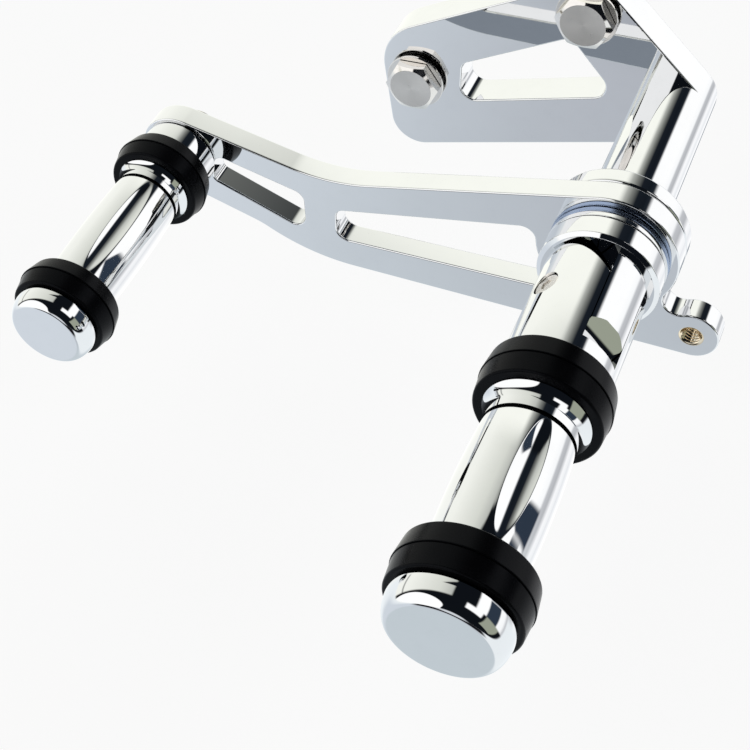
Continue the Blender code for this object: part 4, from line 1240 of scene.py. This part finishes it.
def makeRoom():
    world = bpy.data.worlds.new("room")
    bpy.context.scene.world = world
    world.use_nodes = True
    desk = Desk(world.node_tree)
    s = roomSizes
    colours = {name: screen(*colour) for name, colour in roomColours.items()}
    x = desk.node("ShaderNodeSeparateXYZ", None, {0: desk.node("ShaderNodeTexCoord")})
    y, z = x.other("Y"), x.other("Z")
    first = s["firstBearing"]
    share = (z.maths("ARCTAN2", x) / fullTurn - first / 360 + 1.0).maths("FRACT")
    bearing = share * 360 + first
    away = y.maths("ARCCOSINE") * (180 / pi)

    def painted(picture, panels):
        for colour, bearings, aways in panels:
            masks = [inside(angle, span) for angle, span in ((bearing, bearings), (away, aways)) if span]
            mask = masks[0] * masks[1] if len(masks) == 2 else masks[0]
            picture = desk.mix(mask, picture, colours[colour])
        return picture

    stops = [((spot - first) / 360, screen(*colour)) for spot, colour in backWall]
    seen = desk.node("ShaderNodeValToRGB", {"stops": stops}, {0: share})
    # two of the panels have a slanting end, which moves with away
    darkEnd = away * 2.4 - 56
    blueEnd = (away * 12 - 646).maths("MINIMUM", 512 - away * 8)
    seen = painted(seen, [
        ("darkWall", (50, 91, 2), (58, 60)), ("darkWall", (50, darkEnd, 4), (57.6, 70, 0.7)),
        ("blueWall", (5, 29, 2), (60, 62)), ("blueWall", (-12, blueEnd, 3), (56, 60.6, 0.5)),
        ("mark", (174, 177, 1.5), (60, 63)), ("paleWall", (97, 232, 6), (51, 46)),
        ("backFloor", (238, 284, 6), (52, 46)),
    ])
    # the dark side of the room, with a window, a small lamp and a large soft lamp
    side = painted(colours["darkWall"], sidePanels)
    lampBearing, lampAway = s["lampAt"]
    wide, tall = s["lampReach"]
    across, up = (bearing - lampBearing) / wide, (away - lampAway) / tall
    side = desk.mix((across * across + up * up).rise(1.05, 0.95), side, colours["lamp"])
    ground = painted(colours["paleFloor"], floorPanels)
    aboveFloor = inside(bearing, s["wallSpan"])
    seen = desk.mix((1 - aboveFloor) * inside(away, s["floorFrom"]), seen, ground)
    seen = desk.mix(aboveFloor * inside(away, s["wallFrom"]), seen, side)
    seen = painted(seen, boardPanels)
    path = desk.node("ShaderNodeLightPath")
    colour = desk.mix(path, seen, (1.0, 1.0, 1.0))
    strength = path.other("Is Glossy Ray") * (s["chromeGain"] - 1) + 1.0
    light = desk.node("ShaderNodeBackground", None, {"Color": colour, "Strength": strength})
    desk.node("ShaderNodeOutputWorld", None, {"Surface": light})


# half and below are metres; the floor is low enough for the toe peg at the lever's lowest
floorSizes = {"half": 3.0, "below": 0.0315, "paper": (0.95, 0.95, 0.96), "glow": 1.06, "share": 0.84}


def makeFloor():
    s = floorSizes
    size, level = s["half"], cadBox[0][2] - s["below"]
    corners = [(-size, -size, level), (size, -size, level), (size, size, level), (-size, size, level)]
    mesh = bpy.data.meshes.new("floor")
    mesh.from_pydata(corners, [], [(0, 1, 2, 3)])
    floor = newObject("floor", mesh)
    floor.visible_glossy = False
    material, desk = newMaterial("paperWhite")
    path = desk.node("ShaderNodeLightPath")
    paper = desk.node("ShaderNodeBsdfDiffuse", None, {"Color": s["paper"]})
    sockets = {"Color": (1.0, 1.0, 1.0), "Strength": s["glow"]}
    glow = desk.node("ShaderNodeEmission", None, sockets)
    surface = desk.node("ShaderNodeMixShader", None, {0: path * s["share"], 1: paper, 2: glow})
    desk.node("ShaderNodeOutputMaterial", None, {"Surface": surface})
    mesh.materials.append(material)


cameraSizes = {"sensor": 36, "lens": 72, "nearest": 0.01, "spot": (0.05699, -0.41110, 0.32140),
               "tilt": 40.586, "turn": 22.239}


def makeCamera():
    s = cameraSizes
    camera = newObject("camera", bpy.data.cameras.new("camera"))
    camera.data.sensor_width = s["sensor"]
    camera.data.lens = s["lens"]
    camera.data.clip_start = s["nearest"]
    camera.location = s["spot"]
    camera.rotation_euler = (radians(s["tilt"]), 0, radians(s["turn"]))
    bpy.context.scene.camera = camera


makeBracket(chromeLook("bracketChrome"))
print("bracket made")
makeBolt("front")
makeBolt("rear")
makeStack()
print("bolts and washers made")
makePegMount(chromeLook("mountChrome"))
print("peg mount made")
makeLever(chromeLook("leverChrome"))
print("lever made")
makeFootPeg(chromeLook("footPegChrome"))
makeToePeg(chromeLook("toePegChrome"))
makeScrews()
print("pegs made")
makeRoom()
makeFloor()
makeCamera()
bpy.context.scene.view_settings.view_transform = "Standard"
print("room, floor and camera made")

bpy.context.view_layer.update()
shown = [o for o in bpy.context.scene.objects if o.type == "MESH" and not o.hide_render]
print("sizes written; pieces:", len(shown))
